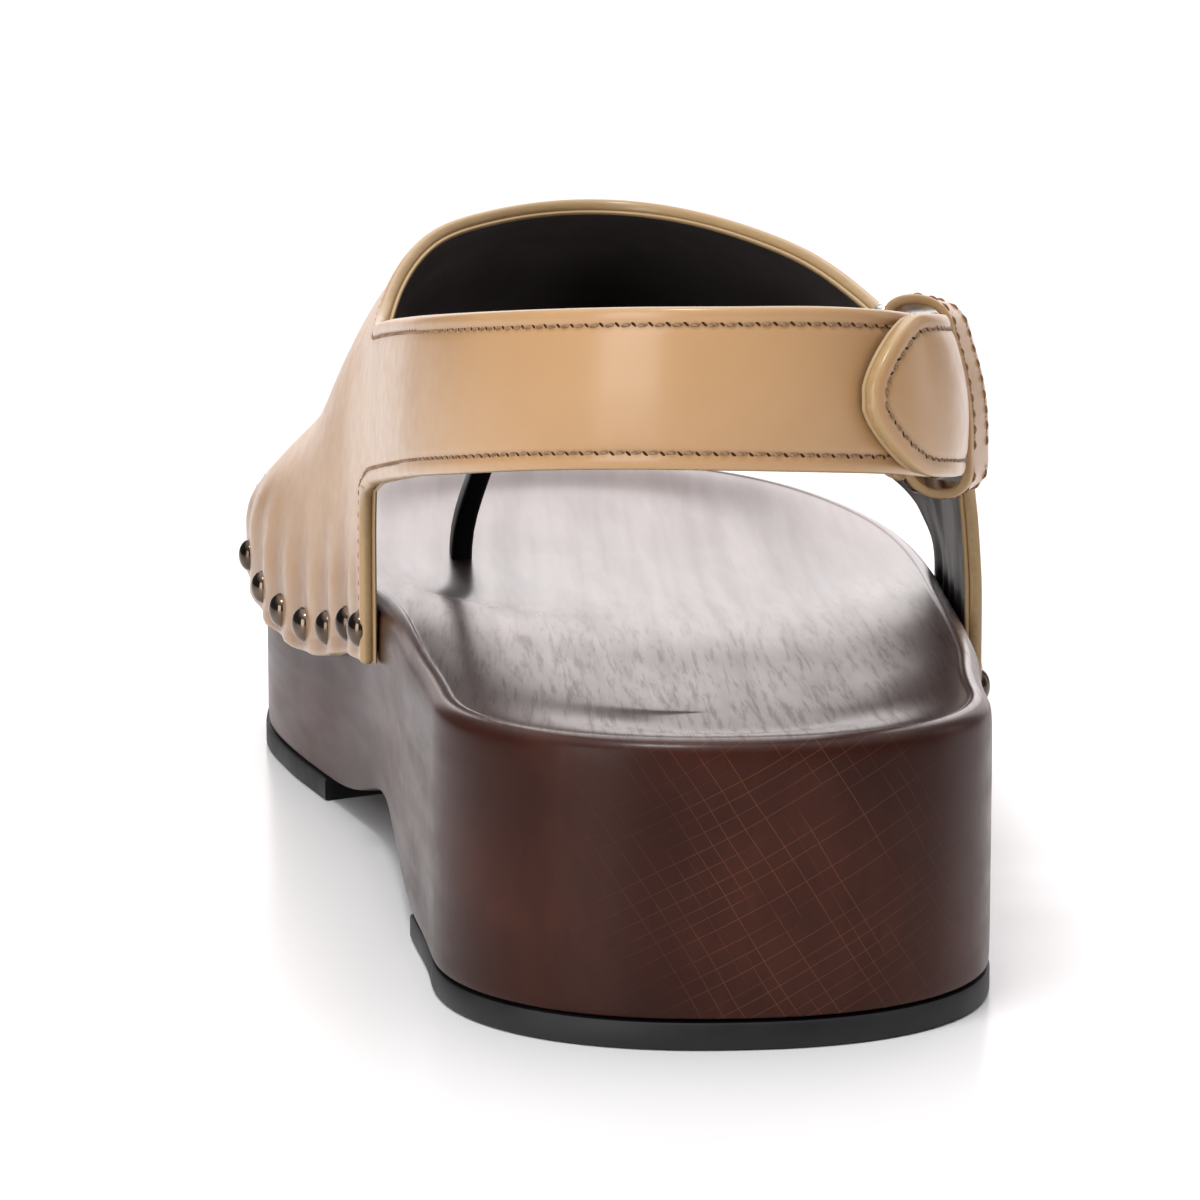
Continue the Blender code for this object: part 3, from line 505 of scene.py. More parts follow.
def hollow_rear_edge(rubber, y, depth):
    """Cuts the tread's rear edge to a hollow arc with a round cutter."""
    left, right = side_x(MEDIAL, y), side_x(LATERAL, y)
    radius = (((right - left) / 2) ** 2 + depth**2) / (2 * depth)
    place = in_frame(((left + right) / 2, y + depth - radius, 0.0))
    round_cutter = bpy.ops.mesh.primitive_cylinder_add
    cutter = primitive(round_cutter, vertices=192, radius=radius * MM, depth=0.02, location=place)
    finished(rubber, "BOOLEAN", object=cutter, solver="EXACT")
    bpy.data.objects.remove(cutter)


def black_rubber():
    """Moulded rubber: matt, finely grained, a little dusty in patches."""
    made, tree, shader = new_material("black rubber", Specular_IOR_Level=0.35)
    dust = ramp(noise(tree, 70.0, 3.0), 0.35, 0.75)
    colour = mixed(dust, (0.010, 0.010, 0.011), (0.022, 0.022, 0.023))
    feed(shader, Base_Color=colour, Roughness=ramp(dust, 0.0, 1.0, 0.5, 0.68))
    bumped(shader, noise(tree, 2200.0), 0.25, 0.00004)
    return made


RUBBER = black_rubber()
heel_tread = tread("heel_rubber", 0.0, HEEL_TREAD_END, 0.1)
front_tread = tread("front_rubber", FRONT_TREAD_START, LENGTH, -0.2)
hollow_rear_edge(front_tread, FRONT_TREAD_START + 0.5, TREAD_CURVE)
for piece, cad_node in ((heel_tread, "outsole_heel"), (front_tread, "outsole_front")):
    piece.data.materials.clear()
    piece.data.materials.append(RUBBER)
    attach(piece, "root")
    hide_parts(cad_node)

# === The upper ====================================================================================
# Tan box leather, cut in one with both straps, over a black lining. The vamp is nailed round the
# sole, gathered a little between the nails. Its free edges are painted and have a row of stitches.

LEATHER, LAYER = 2.2, 2.75  # its thickness with the lining, and the step from one strap to the next
Margin = namedtuple("Margin", "y edge studs")
NAILED = {
    MEDIAL: [
        Margin(103, 26.2, 30.8),
        Margin(118, 25.3, 29.3),
        Margin(133, 22.3, 26.4),
        Margin(147, 20.6, 24.9),
        Margin(160, 21.0, 24.9),
        Margin(174, 22.7, 26.6),
        Margin(195, 27.0, 31.5),
    ],
    LATERAL: [
        Margin(88, 19.6, 24.0),
        Margin(110, 19.7, 24.1),
        Margin(130, 20.3, 24.7),
        Margin(150, 21.8, 26.2),
    ],
}
STUD_ROW = {MEDIAL: (105.5, 185.0, 7), LATERAL: (93.0, 145.0, 5)}  # first nail, last nail, count

Section = namedtuple("Section", "at medial_y lateral_y crown_x crown_y crown_z medial_square lateral_square")
VAMP = [
    Section(0.0, 103, 88, -1.0, 147, 83.6, 4.5, 2.5),
    Section(0.3, 131, 107, -2.5, 161, 78.0, 3.5, 2.5),
    Section(0.6, 158, 125, -5.0, 175, 66.0, 2.2, 2.45),
    Section(1.0, 195, 150, -9.0, 189, 52.0, 1.9, 2.6),
]
SPRING = 33.0  # the height at which the vamp leaves the wood
LEG_STRAP = {MEDIAL: (50.0, 70.7), LATERAL: (51.8, 71.5)}
CORNER = {MEDIAL: 7.0, LATERAL: 4.0}  # radius where a strap's lower edge leaves its leg
STRAP_ROWS = (-0.5, -0.45, -0.38, -0.28, -0.08, 0.08, 0.28, 0.38, 0.45, 0.5)
PLACES = (0.0, 0.013, 0.033, 0.063, 0.11, 0.2, 0.3, 0.4, 0.5, 0.6, 0.7, 0.8, 0.87, 0.93, 0.965, 0.985, 1.0)

Bend = namedtuple("Bend", "x y lean cup low high")
SLING = [
    Bend(-35.0, 90, 0.04, 0.3, 51.6, 72.0),
    Bend(-34.3, 74, 0.05, 0.4, 53.9, 73.9),
    Bend(-33.2, 57, 0.05, 0.5, 56.4, 75.7),
    Bend(-31.2, 40, 0.05, 0.6, 58.9, 77.5),
    Bend(-27.0, 23, 0.05, 0.6, 61.3, 79.3),
    Bend(-20.0, 9.5, 0.04, 0.6, 63.3, 80.8),
    Bend(-10.5, 1.6, 0.03, 0.6, 64.3, 81.7),
    Bend(0.0, -1.0, 0.03, 0.6, 64.4, 81.9),
    Bend(10.0, 0.8, 0.03, 0.7, 63.9, 81.7),
    Bend(18.2, 6.8, 0.05, 0.9, 62.9, 80.7),
    Bend(23.8, 16.5, 0.08, 1.3, 61.3, 79.3),
    Bend(26.7, 28, 0.11, 1.6, 59.9, 78.0),
    Bend(28.4, 40, 0.14, 1.4, 58.6, 76.8),
    Bend(29.0, 48, 0.17, 0.8, 58.0, 75.9),
    Bend(29.0, 53.6, 0.19, 0.2, 57.1, 75.0),
]
HEEL_BAR, OVER_BAR = Vector((26.6, 57.0)), Vector((34.6, 63.9))
BUCKLE_LEAN, BAR = 0.19, 2.0
BUCKLE_LOW, BUCKLE_HIGH = 56.6, 74.6
TURNED_END = Vector((24.7, 49.8))
STRAP_START = [
    Bend(36.3, 82.5, 0.38, 1.1, 52.8, 72.3),
    Bend(34.3, 75, 0.30, 0.8, 54.3, 73.1),
    Bend(32.4, 69, 0.24, 0.4, 55.6, 73.9),
]
TIP_X, TIP_END_Y = 14.6, 50.0  # its tip, and how far up from there the strap lies on the slingback
TIP_DROP, TIP_ROUND, TIP_STEP = 0.8, 11.5, 3.7
TIP_COLUMNS = (0.0, 0.5, 1.4, 2.8, 4.6, 6.8, 9.2, 11.8, 15.0)
LEG_X, LEG_Y = 18.0, 82.0  # the straps start further out and further forward than this
# Where the slot for the prong and its hole are opened, as (low x, high x, low y, high y).
PRONG_SLOT, PRONG_HOLE = (20.0, 29.6, 54.0, 61.0), (31.0, 33.5, 57.5, 61.8)
TURNED_AREA = (22.0, 31.5, 51.5, 61.5)  # no stitches here, in the turn round the bar
NAILED_AT = {side: columns(table) for side, table in NAILED.items()}
VAMP_AT = columns(VAMP, "at")


def within(place, area):
    """Whether a place lies in an area seen from above."""
    return area[0] < place.x < area[1] and area[2] < place.y < area[3]


def flank(side, at):
    """Where a section of the vamp stands on one side of the sole."""
    y = VAMP_AT["medial_y" if side == MEDIAL else "lateral_y"](at)
    return Vector((side_x(side, y), y)) + outward(side, y) * (GAP + LEATHER / 2)


def crown_at(at):
    """The top of a section of the vamp."""
    return Vector([VAMP_AT[name](at) for name in ("crown_x", "crown_y", "crown_z")])


def arch(side, at):
    """One half of a section of the vamp, from where it leaves the wood up to the crown."""
    foot, crown = flank(side, at), crown_at(at)
    square = VAMP_AT["medial_square" if side == MEDIAL else "lateral_square"](at)
    strap_top = (LEG_STRAP[side][1] - SPRING) / (VAMP[0].crown_z - SPRING)
    out_at_strap = round_end(strap_top, square)
    points = []
    for k in range(121):
        angle = math.radians(90 * k / 120)
        out = max(0.0, math.cos(angle)) ** (2 / square)
        up = math.sin(angle) ** (2 / square)
        # The back edge stays upright to the top of the strap, then sweeps forward to the crown.
        upright = math.sqrt(max(0.0, 1 - out / out_at_strap))
        forward = upright * (1 - at) + math.sqrt(max(0.0, 1 - out)) * at
        across = crown.x + (foot.x - crown.x) * out
        along = foot.y + (crown.y - foot.y) * forward
        points.append(Vector((across, along, SPRING + (crown.z - SPRING) * up)))
    return points


def lengths_along(points):
    """Distance travelled from the first point to each of them."""
    return list(accumulate(((b - a).length for a, b in zip(points, points[1:])), initial=0.0))


def at_length(points, travelled, length):
    """The point at this distance along a line of points, the step it is in, and its share of it."""
    i = max(0, min(bisect_left(travelled, length) - 1, len(points) - 2))
    share = (length - travelled[i]) / max(travelled[i + 1] - travelled[i], 1e-9)
    return points[i].lerp(points[i + 1], share), i, share


def vamp_rows(side):
    """Rows of half the vamp, from its nailed edge to the crown: the kind of row, its share of the
    margin or of the way up the arch, and how far the corner under the strap moves it."""
    low, high = LEG_STRAP[side]
    back = arch(side, 0.0)
    travelled = lengths_along(back)

    def share_at(height):
        i = next(k for k, p in enumerate(back) if p.z >= height)
        part = (height - back[i - 1].z) / (back[i].z - back[i - 1].z)
        return (travelled[i - 1] + (travelled[i] - travelled[i - 1]) * part) / travelled[-1]

    rows = [("margin", share, 0.0) for share in (0.0, 0.12, 0.4, 0.7, 1.0)]
    rows += [("arch", share_at(z), 0.0) for z in (36.5, 39.5, low - CORNER[side] - 1.2)]
    for rise in (1.0, 0.62, 0.3, 0.08):
        turned = CORNER[side] * (1 - math.sqrt(1 - (1 - rise) ** 2))
        rows.append(("arch", share_at(low - CORNER[side] * rise), turned))
    rows += [("strap", share_at((low + high) / 2 + s * (high - low)), 0.0) for s in STRAP_ROWS]
    last = rows[-1][1]
    return rows + [("arch", last + (1 - last) * k / 7, 0.0) for k in range(1, 7)]


def vamp_lines(side):
    """For each row, its points from the back edge of the vamp to its front edge, and the numbers of
    the rows at the strap."""
    rows = vamp_rows(side)
    strap = [k for k, row in enumerate(rows) if row[0] == "strap"]
    lines = [[] for _ in rows]
    for at in PLACES:
        foot = flank(side, at)
        edge = NAILED_AT[side]["edge"](foot.y)
        section = arch(side, at)
        travelled = lengths_along(section)
        for k, (kind, share, turned) in enumerate(rows):
            if kind == "margin":
                point = Vector((foot.x, foot.y, edge + (SPRING - edge) * share))
            else:
                point = at_length(section, travelled, share * travelled[-1])[0]
            point.y -= (CORNER[side] if k == strap[0] else turned) * max(0.0, 1 - at / 0.05)
            lines[k].append(point)
    return lines, strap


def spline(bends, steps):
    """Bends along a smooth curve through the given ones."""
    result = []
    last = len(bends) - 1
    for i in range(last):
        near = [bends[min(max(k, 0), last)] for k in (i - 1, i, i + 1, i + 2)]
        for step in range(steps):
            t = step / steps
            weights = (
                -0.5 * t + t**2 - 0.5 * t**3,
                1 - 2.5 * t**2 + 1.5 * t**3,
                0.5 * t + 2 * t**2 - 1.5 * t**3,
                -0.5 * t**2 + 0.5 * t**3,
            )
            result.append(Bend(*(sum(w * v for w, v in zip(weights, values)) for values in zip(*near))))
    return result + [bends[-1]]


def directions(points, closed=False):
    """The direction of a line, seen from above or in its own plane, at each of its points."""
    last = len(points) - 1
    made = []
    for i in range(last + 1):
        before, after = (i - 1, (i + 1) % (last + 1)) if closed else (max(i - 1, 0), min(i + 1, last))
        made.append((Vector(points[after][:2]) - Vector(points[before][:2])).normalized())
    return made


Column = namedtuple("Column", "place lean cup low high")


def columns_along(bends, side, shift=0.0):
    """Columns across a strap at each bend, moved outward by shift."""
    made = []
    for bend, along in zip(bends, directions(bends)):
        out = Vector((along.y, -along.x)) * -side
        place = Vector((bend.x, bend.y)) + out * shift
        made.append(Column(place, out * bend.lean, out * bend.cup, bend.low, bend.high))
    return made


def column_points(column, width=1.0):
    """Points across the strap in one column, from its lower to its upper edge."""
    middle, full = (column.low + column.high) / 2, column.high - column.low
    points = []
    for share in STRAP_ROWS:
        rise = share * full * width
        plan = column.place - column.lean * rise - column.cup * (2 * share * width) ** 2
        points.append(Vector((plan.x, plan.y, middle + rise)))
    return points


def in_buckle(x, y):
    """A flat column that leans with the buckle."""
    return Column(Vector((x, y)), Vector((BUCKLE_LEAN, 0)), Vector((0, 0)), BUCKLE_LOW, BUCKLE_HIGH)


def arc(centre, radius, angles):
    """Points round an arc, at these angles in degrees."""
    turns = [math.radians(angle) for angle in angles]
    return [(centre[0] + radius * math.cos(t), centre[1] + radius * math.sin(t)) for t in turns]


def sling_columns():
    """The slingback: round the heel, round the buckle's bar, and back to its turned end."""
    radius = BAR / 2 + GAP + LEATHER / 2
    turn = [in_buckle(*place) for place in arc(HEEL_BAR, radius, range(-10, 191, 20))]
    back = [in_buckle(HEEL_BAR.x - radius, HEEL_BAR.y - 3.4), in_buckle(TURNED_END.x, TURNED_END.y + 0.8)]
    return columns_along(spline(SLING, 3), MEDIAL) + turn + back + [in_buckle(*TURNED_END)]


def buckle_strap_columns():
    """The buckle strap from the lateral flank to its tip, with each column's width as a share."""
    start = columns_along(spline(STRAP_START, 2), LATERAL)
    outer_x = HEEL_BAR.x + BAR / 2 + GAP + LEATHER / 2 + LAYER
    through = [in_buckle(outer_x, OVER_BAR.y - step) for step in (-0.4, 2.3, 4.6, 7.0)]
    laid = columns_along(spline(SLING, 12), MEDIAL, LAYER)
    laid = [c for c in laid if c.place.x > TIP_X and c.place.y < TIP_END_Y]
    places = [c.place for c in laid]
    travelled = lengths_along(places)
    wanted = list(TIP_COLUMNS)
    while wanted[-1] + TIP_STEP + 0.3 < travelled[-1]:
        wanted.append(wanted[-1] + TIP_STEP)
    chosen, widths = [], []
    for length in wanted:
        column = laid[bisect_right(travelled, length + 0.001) - 1]
        width = 0.13 + 0.87 * (1 - (1 - min(length / TIP_ROUND, 1.0)) ** 1.8) ** 0.72
        drop = TIP_DROP * (1 - width)
        place = at_length(places, travelled, length)[0]
        chosen.append(column._replace(place=place, low=column.low - drop, high=column.high - drop))
        widths.append(width)
    before = start + through
    return before + chosen[::-1], [1.0] * len(before) + widths[::-1]


def vamp():
    """The vamp's middle surface: a grid whose rows run from one nailed margin over the crown to the
    other. The attribute number counts the back ends of the rows at each strap; it is -1 elsewhere."""
    inner, inner_strap = vamp_lines(MEDIAL)
    outer, outer_strap = vamp_lines(LATERAL)
    crown = len(inner)
    lines = inner + [[crown_at(at) for at in PLACES]] + outer[::-1]
    straps = [inner_strap, [len(lines) - 1 - k for k in outer_strap]]
    for _ in range(3):
        eased = range(crown - 3, crown + 4)
        moved = [[(a + b * 2 + c) / 4 for a, b, c in zip(*lines[k - 1 : k + 2])] for k in eased]
        lines[crown - 3 : crown + 4] = moved
    across, along = len(PLACES) - 1, len(lines) - 1
    flat = {"x_subdivisions": across, "y_subdivisions": along, "size": 2.0}
    leather = primitive(bpy.ops.mesh.primitive_grid_add, "upper_middle", **flat)
    numbers = []
    for vert in leather.data.vertices:
        place, row = round((vert.co.x + 1) / 2 * across), round((vert.co.y + 1) / 2 * along)
        vert.co = in_frame(lines[row][place])
        on_strap = [rows.index(row) for rows in straps if row in rows and place == 0]
        numbers.append(on_strap[0] if on_strap else -1)
    store(leather, "number", numbers, "INT")
    return leather


def extrude_strap(leather, side, points_of_columns):
    """Draws one strap out from the back edge of the vamp, column by column."""

    def at_strap(vert):
        x, y, _ = vert.co / MM - LAST_ZERO
        on_leg = x * side > LEG_X and y > LEG_Y
        return vert[number] >= 0 and vert.is_boundary and on_leg

    with editing(leather):
        number = bmesh.from_edit_mesh(leather.data).verts.layers.int["number"]
        select_where(leather, "verts", at_strap)
        draw_on(leather, points_of_columns)


def cut_slots(leather):
    """Opens the slot for the buckle's prong where the slingback turns round the bar, and its hole in
    the buckle strap."""

    def in_slot(face):
        place = face.calc_center_median() / MM - LAST_ZERO
        level = abs(place.z - (BUCKLE_LOW + BUCKLE_HIGH) / 2) < 1.0
        return level and (within(place, PRONG_SLOT) or within(place, PRONG_HOLE))

    with editing(leather):
        select_where(leather, "faces", in_slot)
        bpy.ops.mesh.delete(type="FACE")


def facing_out(leather):
    """Turns the surface so that its face is the outside of the upper."""
    if max(leather.data.polygons, key=lambda face: face.center.z).normal.z < 0:
        with editing(leather, "SELECT"):
            bpy.ops.mesh.flip_normals()


middle = vamp()
extrude_strap(middle, MEDIAL, [column_points(c) for c in sling_columns()])
extrude_strap(middle, LATERAL, [column_points(c, w) for c, w in zip(*buckle_strap_columns())])
cut_slots(middle)
facing_out(middle)
finished(middle, "SUBSURF", levels=2, render_levels=2, boundary_smooth="PRESERVE_CORNERS")

GATHER_RISE, GATHER_DEPTH = 17.0, 1.5  # how far the gathers run up from the nails, and how deep they are
GATHER_TOP = 66.0  # no gathers above this height
FOLD_SHADE_RISE = 24.0  # how far up from the nails the leather gets painted shade


def gathers(leather):
    """Bulges the leather between its nails, in soft flutes that fade out up the flanks. How much painted
    shade each vertex gets, darkest at the nails and fading up the flank, is stored as an attribute."""
    fold_shades = []
    for vert in leather.data.vertices:
        x, y, z = vert.co / MM - LAST_ZERO
        side = MEDIAL if x < 0 else LATERAL
        first, last, count = STUD_ROW[side]
        pitch = (last - first) / (count - 1)
        fold_shades.append(0.0)
        if not first - pitch < y < last + pitch or z > GATHER_TOP:
            continue
        rise = z - NAILED_AT[side]["studs"](y)
        fade = max(0.0, 1 - rise / GATHER_RISE) ** 1.6 * (0.4 + 0.6 * share_of(rise, 1.0, 5.0))
        ends = max(0.0, min(1.0, (y - first + 2.0) / 4.0, (last + pitch - y) / pitch))
        step = (y - first) / pitch
        wave = (1 - math.cos(math.tau * step)) / 2
        uneven = 1 + 0.25 * math.sin(2.4 * math.floor(step) + side)
        vert.co += outward(side, y).to_3d() * GATHER_DEPTH * wave * uneven * fade * ends * MM
        # Painted shade: darkest at the nails, lighter on the bulges between them, fading up the flank.
        shade_near_nails = max(0.0, 1 - max(0.0, rise) / FOLD_SHADE_RISE)
        fold_shades[-1] = shade_near_nails**1.2 * ends * (1 - 0.55 * wave)
    store(leather, "fold_shade", fold_shades)
    leather.data.update()


def open_edges(obj):
    """The open edges of a surface, as loops of vertex numbers, the longest first."""
    bm = bmesh.new()
    bm.from_mesh(obj.data)
    beside = {}
    for edge in bm.edges:
        if edge.is_boundary:
            a, b = edge.verts
            beside.setdefault(a.index, []).append(b.index)
            beside.setdefault(b.index, []).append(a.index)
    bm.free()
    loops = []
    while beside:
        here = next(iter(beside))
        loops.append([])
        while here is not None:
            loops[-1].append(here)
            here = next((n for n in beside.pop(here) if n in beside), None)
    return sorted(loops, key=len, reverse=True)


def note_edge_distance(obj, loops, reach=8.0):
    """Stores how far each vertex is from the nearest edge, in millimetres, as the attribute edge."""
    vertices = obj.data.vertices
    points = []
    for loop in loops:
        for a, b in zip(loop, loop[1:] + loop[:1]):
            points += [vertices[a].co.lerp(vertices[b].co, k / 6) for k in range(6)]
    tree = KDTree(len(points))
    for i, point in enumerate(points):
        tree.insert(point, i)
    tree.balance()
    distances = [min(tree.find(v.co)[2] / MM, reach) for v in vertices]
    store(obj, "edge", distances)
    return distances


def layer(name, face, outside, inside, rounding, seam_depth):
    """A layer of leather of the upper. Its faces lie this far outside and inside the middle surface,
    its edges are rounded, and it is drawn down along the seam."""
    only(middle)
    bpy.ops.object.duplicate()
    made = bpy.context.object
    made.name = made.data.name = name
    made.data.materials.append(face)
    made.data.materials.append(EDGE_PAINT)
    finished(made, "SOLIDIFY", thickness=MM, offset=0.0, material_offset_rim=1)
    count = len(middle.data.vertices)
    for vert in made.data.vertices:
        base = middle.data.vertices[vert.index % count]
        distance = EDGE_DISTANCE[base.index]
        dropped = rounding - math.sqrt(rounding**2 - max(0.0, rounding - distance) ** 2)
        if (vert.co - base.co).dot(base.normal) > 0:
            nailed = share_of(base.co.z / MM, 30.0, 3.0)
            seam = math.exp(-(((distance - SEAM) / 0.5) ** 2)) * nailed
            roll = 0.6 * math.exp(-(((distance - 1.0) / 0.5) ** 2))
            off = outside - dropped + seam_depth * (roll - seam)
        else:
            off = inside + dropped * 0.6
        vert.co = base.co + base.normal * off * MM
    made.data.update()
    bpy.ops.object.shade_smooth()
    return made


def stitch_frame(place, along, normal):
    """The frame of one stitch: along the seam, across it, and out of the leather."""
    made = Matrix((along, normal.cross(along), normal)).transposed().to_4x4()
    made.translation = place
    return made


def seam_points(loop):
    """The points a seam's width in from an edge, with the surface's normals there."""
    vertices = middle.data.vertices
    count = len(loop)
    inner = {}
    for face in middle.data.polygons:
        for index in face.vertices:
            inner.setdefault(index, []).append(face.center)
    points = []
    for i, index in enumerate(loop):
        vert = vertices[index]
        along = (vertices[loop[(i + 2) % count]].co - vertices[loop[i - 2]].co).normalized()
        towards = sum(inner[index], Vector()) / len(inner[index]) - vert.co
        across = vert.normal.cross(along).normalized()
        across *= 1 if across.dot(towards) > 0 else -1
        points.append((vert.co + across * SEAM * MM, vert.normal.copy()))
    return points


def seam_frames(loop, surface, tilt):
    """Places for stitches along an edge, each turned a little. There are none where the leather is
    nailed to the wood or turned round the buckle."""
    points = seam_points(loop)
    lines = [[]]
    for point, normal in points + points[:1]:
        place = point / MM - LAST_ZERO
        if place.z > 31.5 and not within(place, TURNED_AREA):
            lines[-1].append((point, normal))
        elif lines[-1]:
            lines.append([])
    made = []
    for line in lines:
        if len(line) < SHORTEST_SEAM:
            continue
        path = [p for p, _ in line]
        for _ in range(3):
            eased = [(a + b * 2 + c) / 4 for a, b, c in zip(path, path[1:], path[2:])]
            path = [path[0], *eased, path[-1]]
        travelled = lengths_along(path)
        steps = max(1, round(travelled[-1] / (STITCH * MM)))
        for k in range(steps):
            point, i, share = at_length(path, travelled, travelled[-1] * (k + 0.5) / steps)
            normal = line[i][1].lerp(line[i + 1][1], share)
            place, normal, _, _ = surface.find_nearest(point + normal * LEATHER / 2 * MM)
            along = path[i + 1] - path[i]
            along = (along - normal * along.dot(normal)).normalized()
            turned = along * math.cos(tilt) + normal.cross(along) * math.sin(tilt)
            made.append(stitch_frame(place, turned.normalized(), normal))
    return made


def one_stitch():
    """The mesh of one stitch of waxed thread: a short cord that dips into the leather at both ends,
    beside a flat dark disc of painted shade where the needle cut the leather at a slant."""
    half = STITCH * 0.4 * MM
    cord = {"vertices": 6, "radius": THREAD / 2 * MM, "depth": half * 2, "rotation": (0, math.pi / 2, 0)}
    thread = primitive(bpy.ops.mesh.primitive_cylinder_add, **cord)
    bpy.ops.object.transform_apply(location=False, rotation=True, scale=False)
    with editing(thread):
        lengthwise = half * 0.6
        select_where(thread, "edges", lambda e: abs(e.verts[0].co.x - e.verts[1].co.x) > lengthwise)
        bpy.ops.mesh.subdivide(number_cuts=4)
    for vert in thread.data.vertices:
        share = vert.co.x / half
        taper = 1 - 0.35 * share**4
        vert.co.y *= taper
        vert.co.z = vert.co.z * taper + (0.06 - 0.30 * share**2) * MM
    bpy.ops.object.shade_smooth()
    thread.data.materials.append(thread_finish())
    # A flat dark disc just above the leather: painted shade for the inside of the needle's cut.
    shade_disc = {"vertices": 8, "radius": SLIT / 2 * MM, "fill_type": "NGON"}
    slit_shade = primitive(bpy.ops.mesh.primitive_circle_add, **shade_disc)
    turned = Matrix.Rotation(math.radians(-48), 4, "Z") @ Matrix.Diagonal((1.0, 0.36, 1.0, 1.0))
    slit_shade.data.transform(Matrix.Translation((STITCH / 2 * MM, 0.0, 0.035 * MM)) @ turned)
    slit_shade.data.materials.append(needle_slit_shade())
    thread.select_set(True)
    bpy.ops.object.join()
    mesh = slit_shade.data
    bpy.data.objects.remove(slit_shade)
    return mesh


def linked(name, data):
    """A new object in the scene."""
    obj = bpy.data.objects.new(name, data)
    bpy.context.scene.collection.objects.link(obj)
    return obj


def copies(name, mesh, frames):
    """One piece made of copies of a mesh, each in its own frame."""
    made = []
    for matrix in frames:
        made.append(linked(name, mesh.copy()))
        made[-1].data.transform(matrix)
    joined = only(made[0])
    for obj in made:
        obj.select_set(True)
    bpy.ops.object.join()
    joined.name = joined.data.name = name
    return joined


def leather_grain():
    """A node group shared by the leathers: fine grain and broad unevenness, as a height."""
    group = bpy.data.node_groups.new("leather grain", "ShaderNodeTree")
    for name, direction in (("Fineness", "INPUT"), ("Grain", "INPUT"), ("Height", "OUTPUT")):
        group.interface.new_socket(name, in_out=direction, socket_type="NodeSocketFloat")
    given = group.nodes.new("NodeGroupInput").outputs
    place = node(group, "ShaderNodeTexCoord").outputs["Object"]
    close = node(group, "ShaderNodeVectorMath", {0: place, "Scale": given["Fineness"]}, operation="SCALE")
    pores = noise(group, close.outputs["Vector"], 3.0, 0.6)
    height = plus(times(pores, given["Grain"]), noise(group, 90.0))
    group.links.new(height, group.nodes.new("NodeGroupOutput").inputs["Height"])
    return group


def grained(shader, fineness, grain, strength):
    """Gives a leather its grain."""
    inputs = {"Fineness": fineness, "Grain": grain}
    grouped = node(shader.id_data, "ShaderNodeGroup", inputs, node_tree=LEATHER_GRAIN)
    bumped(shader, grouped.outputs["Height"], strength, 0.00008)


LEATHER_GRAIN = leather_grain()
TAN, TAN_DEEP, TAN_EDGE = (0.53, 0.312, 0.15), (0.47, 0.27, 0.125), (0.42, 0.28, 0.135)
# The first two colours below are painted shade: for the stitch channel and for the pinched leather at the
# nails.
TAN_GROOVE_SHADE, TAN_FOLD_SHADE, TAN_EDGE_DEEP = (0.27, 0.15, 0.07), (0.24, 0.125, 0.058), (0.38, 0.24, 0.11)


def box_leather():
    """Polished box calf: smooth, with a broad sheen, very fine grain and a slightly uneven tan dye.
    It is painted along its edges, and painted shade darkens it in the stitch channel and at the nails."""
    made, tree, shader = new_material("tan box leather", IOR=1.33, Coat_Weight=0.45, Coat_Roughness=0.2)
    edge = attribute(tree, "edge")
    dye = mixed(ramp(noise(tree, 35.0, 4.0), 0.3, 0.7), TAN, TAN_DEEP)
    # Painted shade in the stitch channel, where the seam presses the leather in.
    groove_shade = times(ramp(edge, 1.5, 2.0), ramp(edge, 2.0, 2.6, 1.0, 0.0), 0.35)
    dye = mixed(groove_shade, dye, TAN_GROOVE_SHADE)
    # Painted shade at the nails and in the pinched leather between the flutes.
    dye = mixed(ramp(attribute(tree, "fold_shade"), 0.0, 0.9, 0.0, 0.75), dye, TAN_FOLD_SHADE)
    dye = mixed(ramp(edge, 0.1, 0.45, 1.0, 0.0), dye, TAN_EDGE)
    feed(shader, Base_Color=dye, Roughness=ramp(noise(tree, 400.0), 0.3, 0.7, 0.30, 0.38))
    grained(shader, 3500.0, 0.3, 0.12)
    return made


def painted_edge():
    """The cut edge of the leather, burnished and painted tan."""
    made, tree, shader = new_material("painted edge", Specular_IOR_Level=0.5)
    streaks = noise(tree, (300.0, 300.0, 1200.0), 3.0)
    colour = mixed(ramp(streaks, 0.3, 0.7), TAN_EDGE, TAN_EDGE_DEEP)
    feed(shader, Base_Color=colour, Roughness=ramp(streaks, 0.3, 0.7, 0.32, 0.48))
    bumped(shader, streaks, 0.2, 0.00006)
    return made


def black_lining():
    """Black lining calf: fine-grained and satin, a little worn to grey in patches. The paint of the
    upper's cut edge laps on to it."""
    made, tree, shader = new_material("black lining leather", Specular_IOR_Level=0.5)
    worn = ramp(noise(tree, 60.0, 4.0), 0.35, 0.75)
    black = mixed(worn, (0.010, 0.009, 0.009), (0.022, 0.020, 0.020))
    colour = mixed(ramp(attribute(tree, "edge"), 0.45, 0.6, 1.0, 0.0), black, TAN_EDGE)
    feed(shader, Base_Color=colour, Roughness=ramp(worn, 0.0, 1.0, 0.38, 0.52))
    grained(shader, 1800.0, 0.8, 0.2)
    return made


def thread_finish():
    """Brown waxed thread, with the twist of its strands."""
    made, tree, shader = new_material("brown waxed thread", Specular_IOR_Level=0.4)
    inputs = {"Vector": spread(tree, 1.0), "Scale": 900.0, "Distortion": 1.0}
    twist = node(tree, "ShaderNodeTexWave", inputs, bands_direction="DIAGONAL").outputs["Fac"]
    colour = mixed(twist, (0.20, 0.105, 0.045), (0.33, 0.19, 0.095))
    feed(shader, Base_Color=colour, Roughness=ramp(twist, 0.0, 1.0, 0.6, 0.42))
    return made


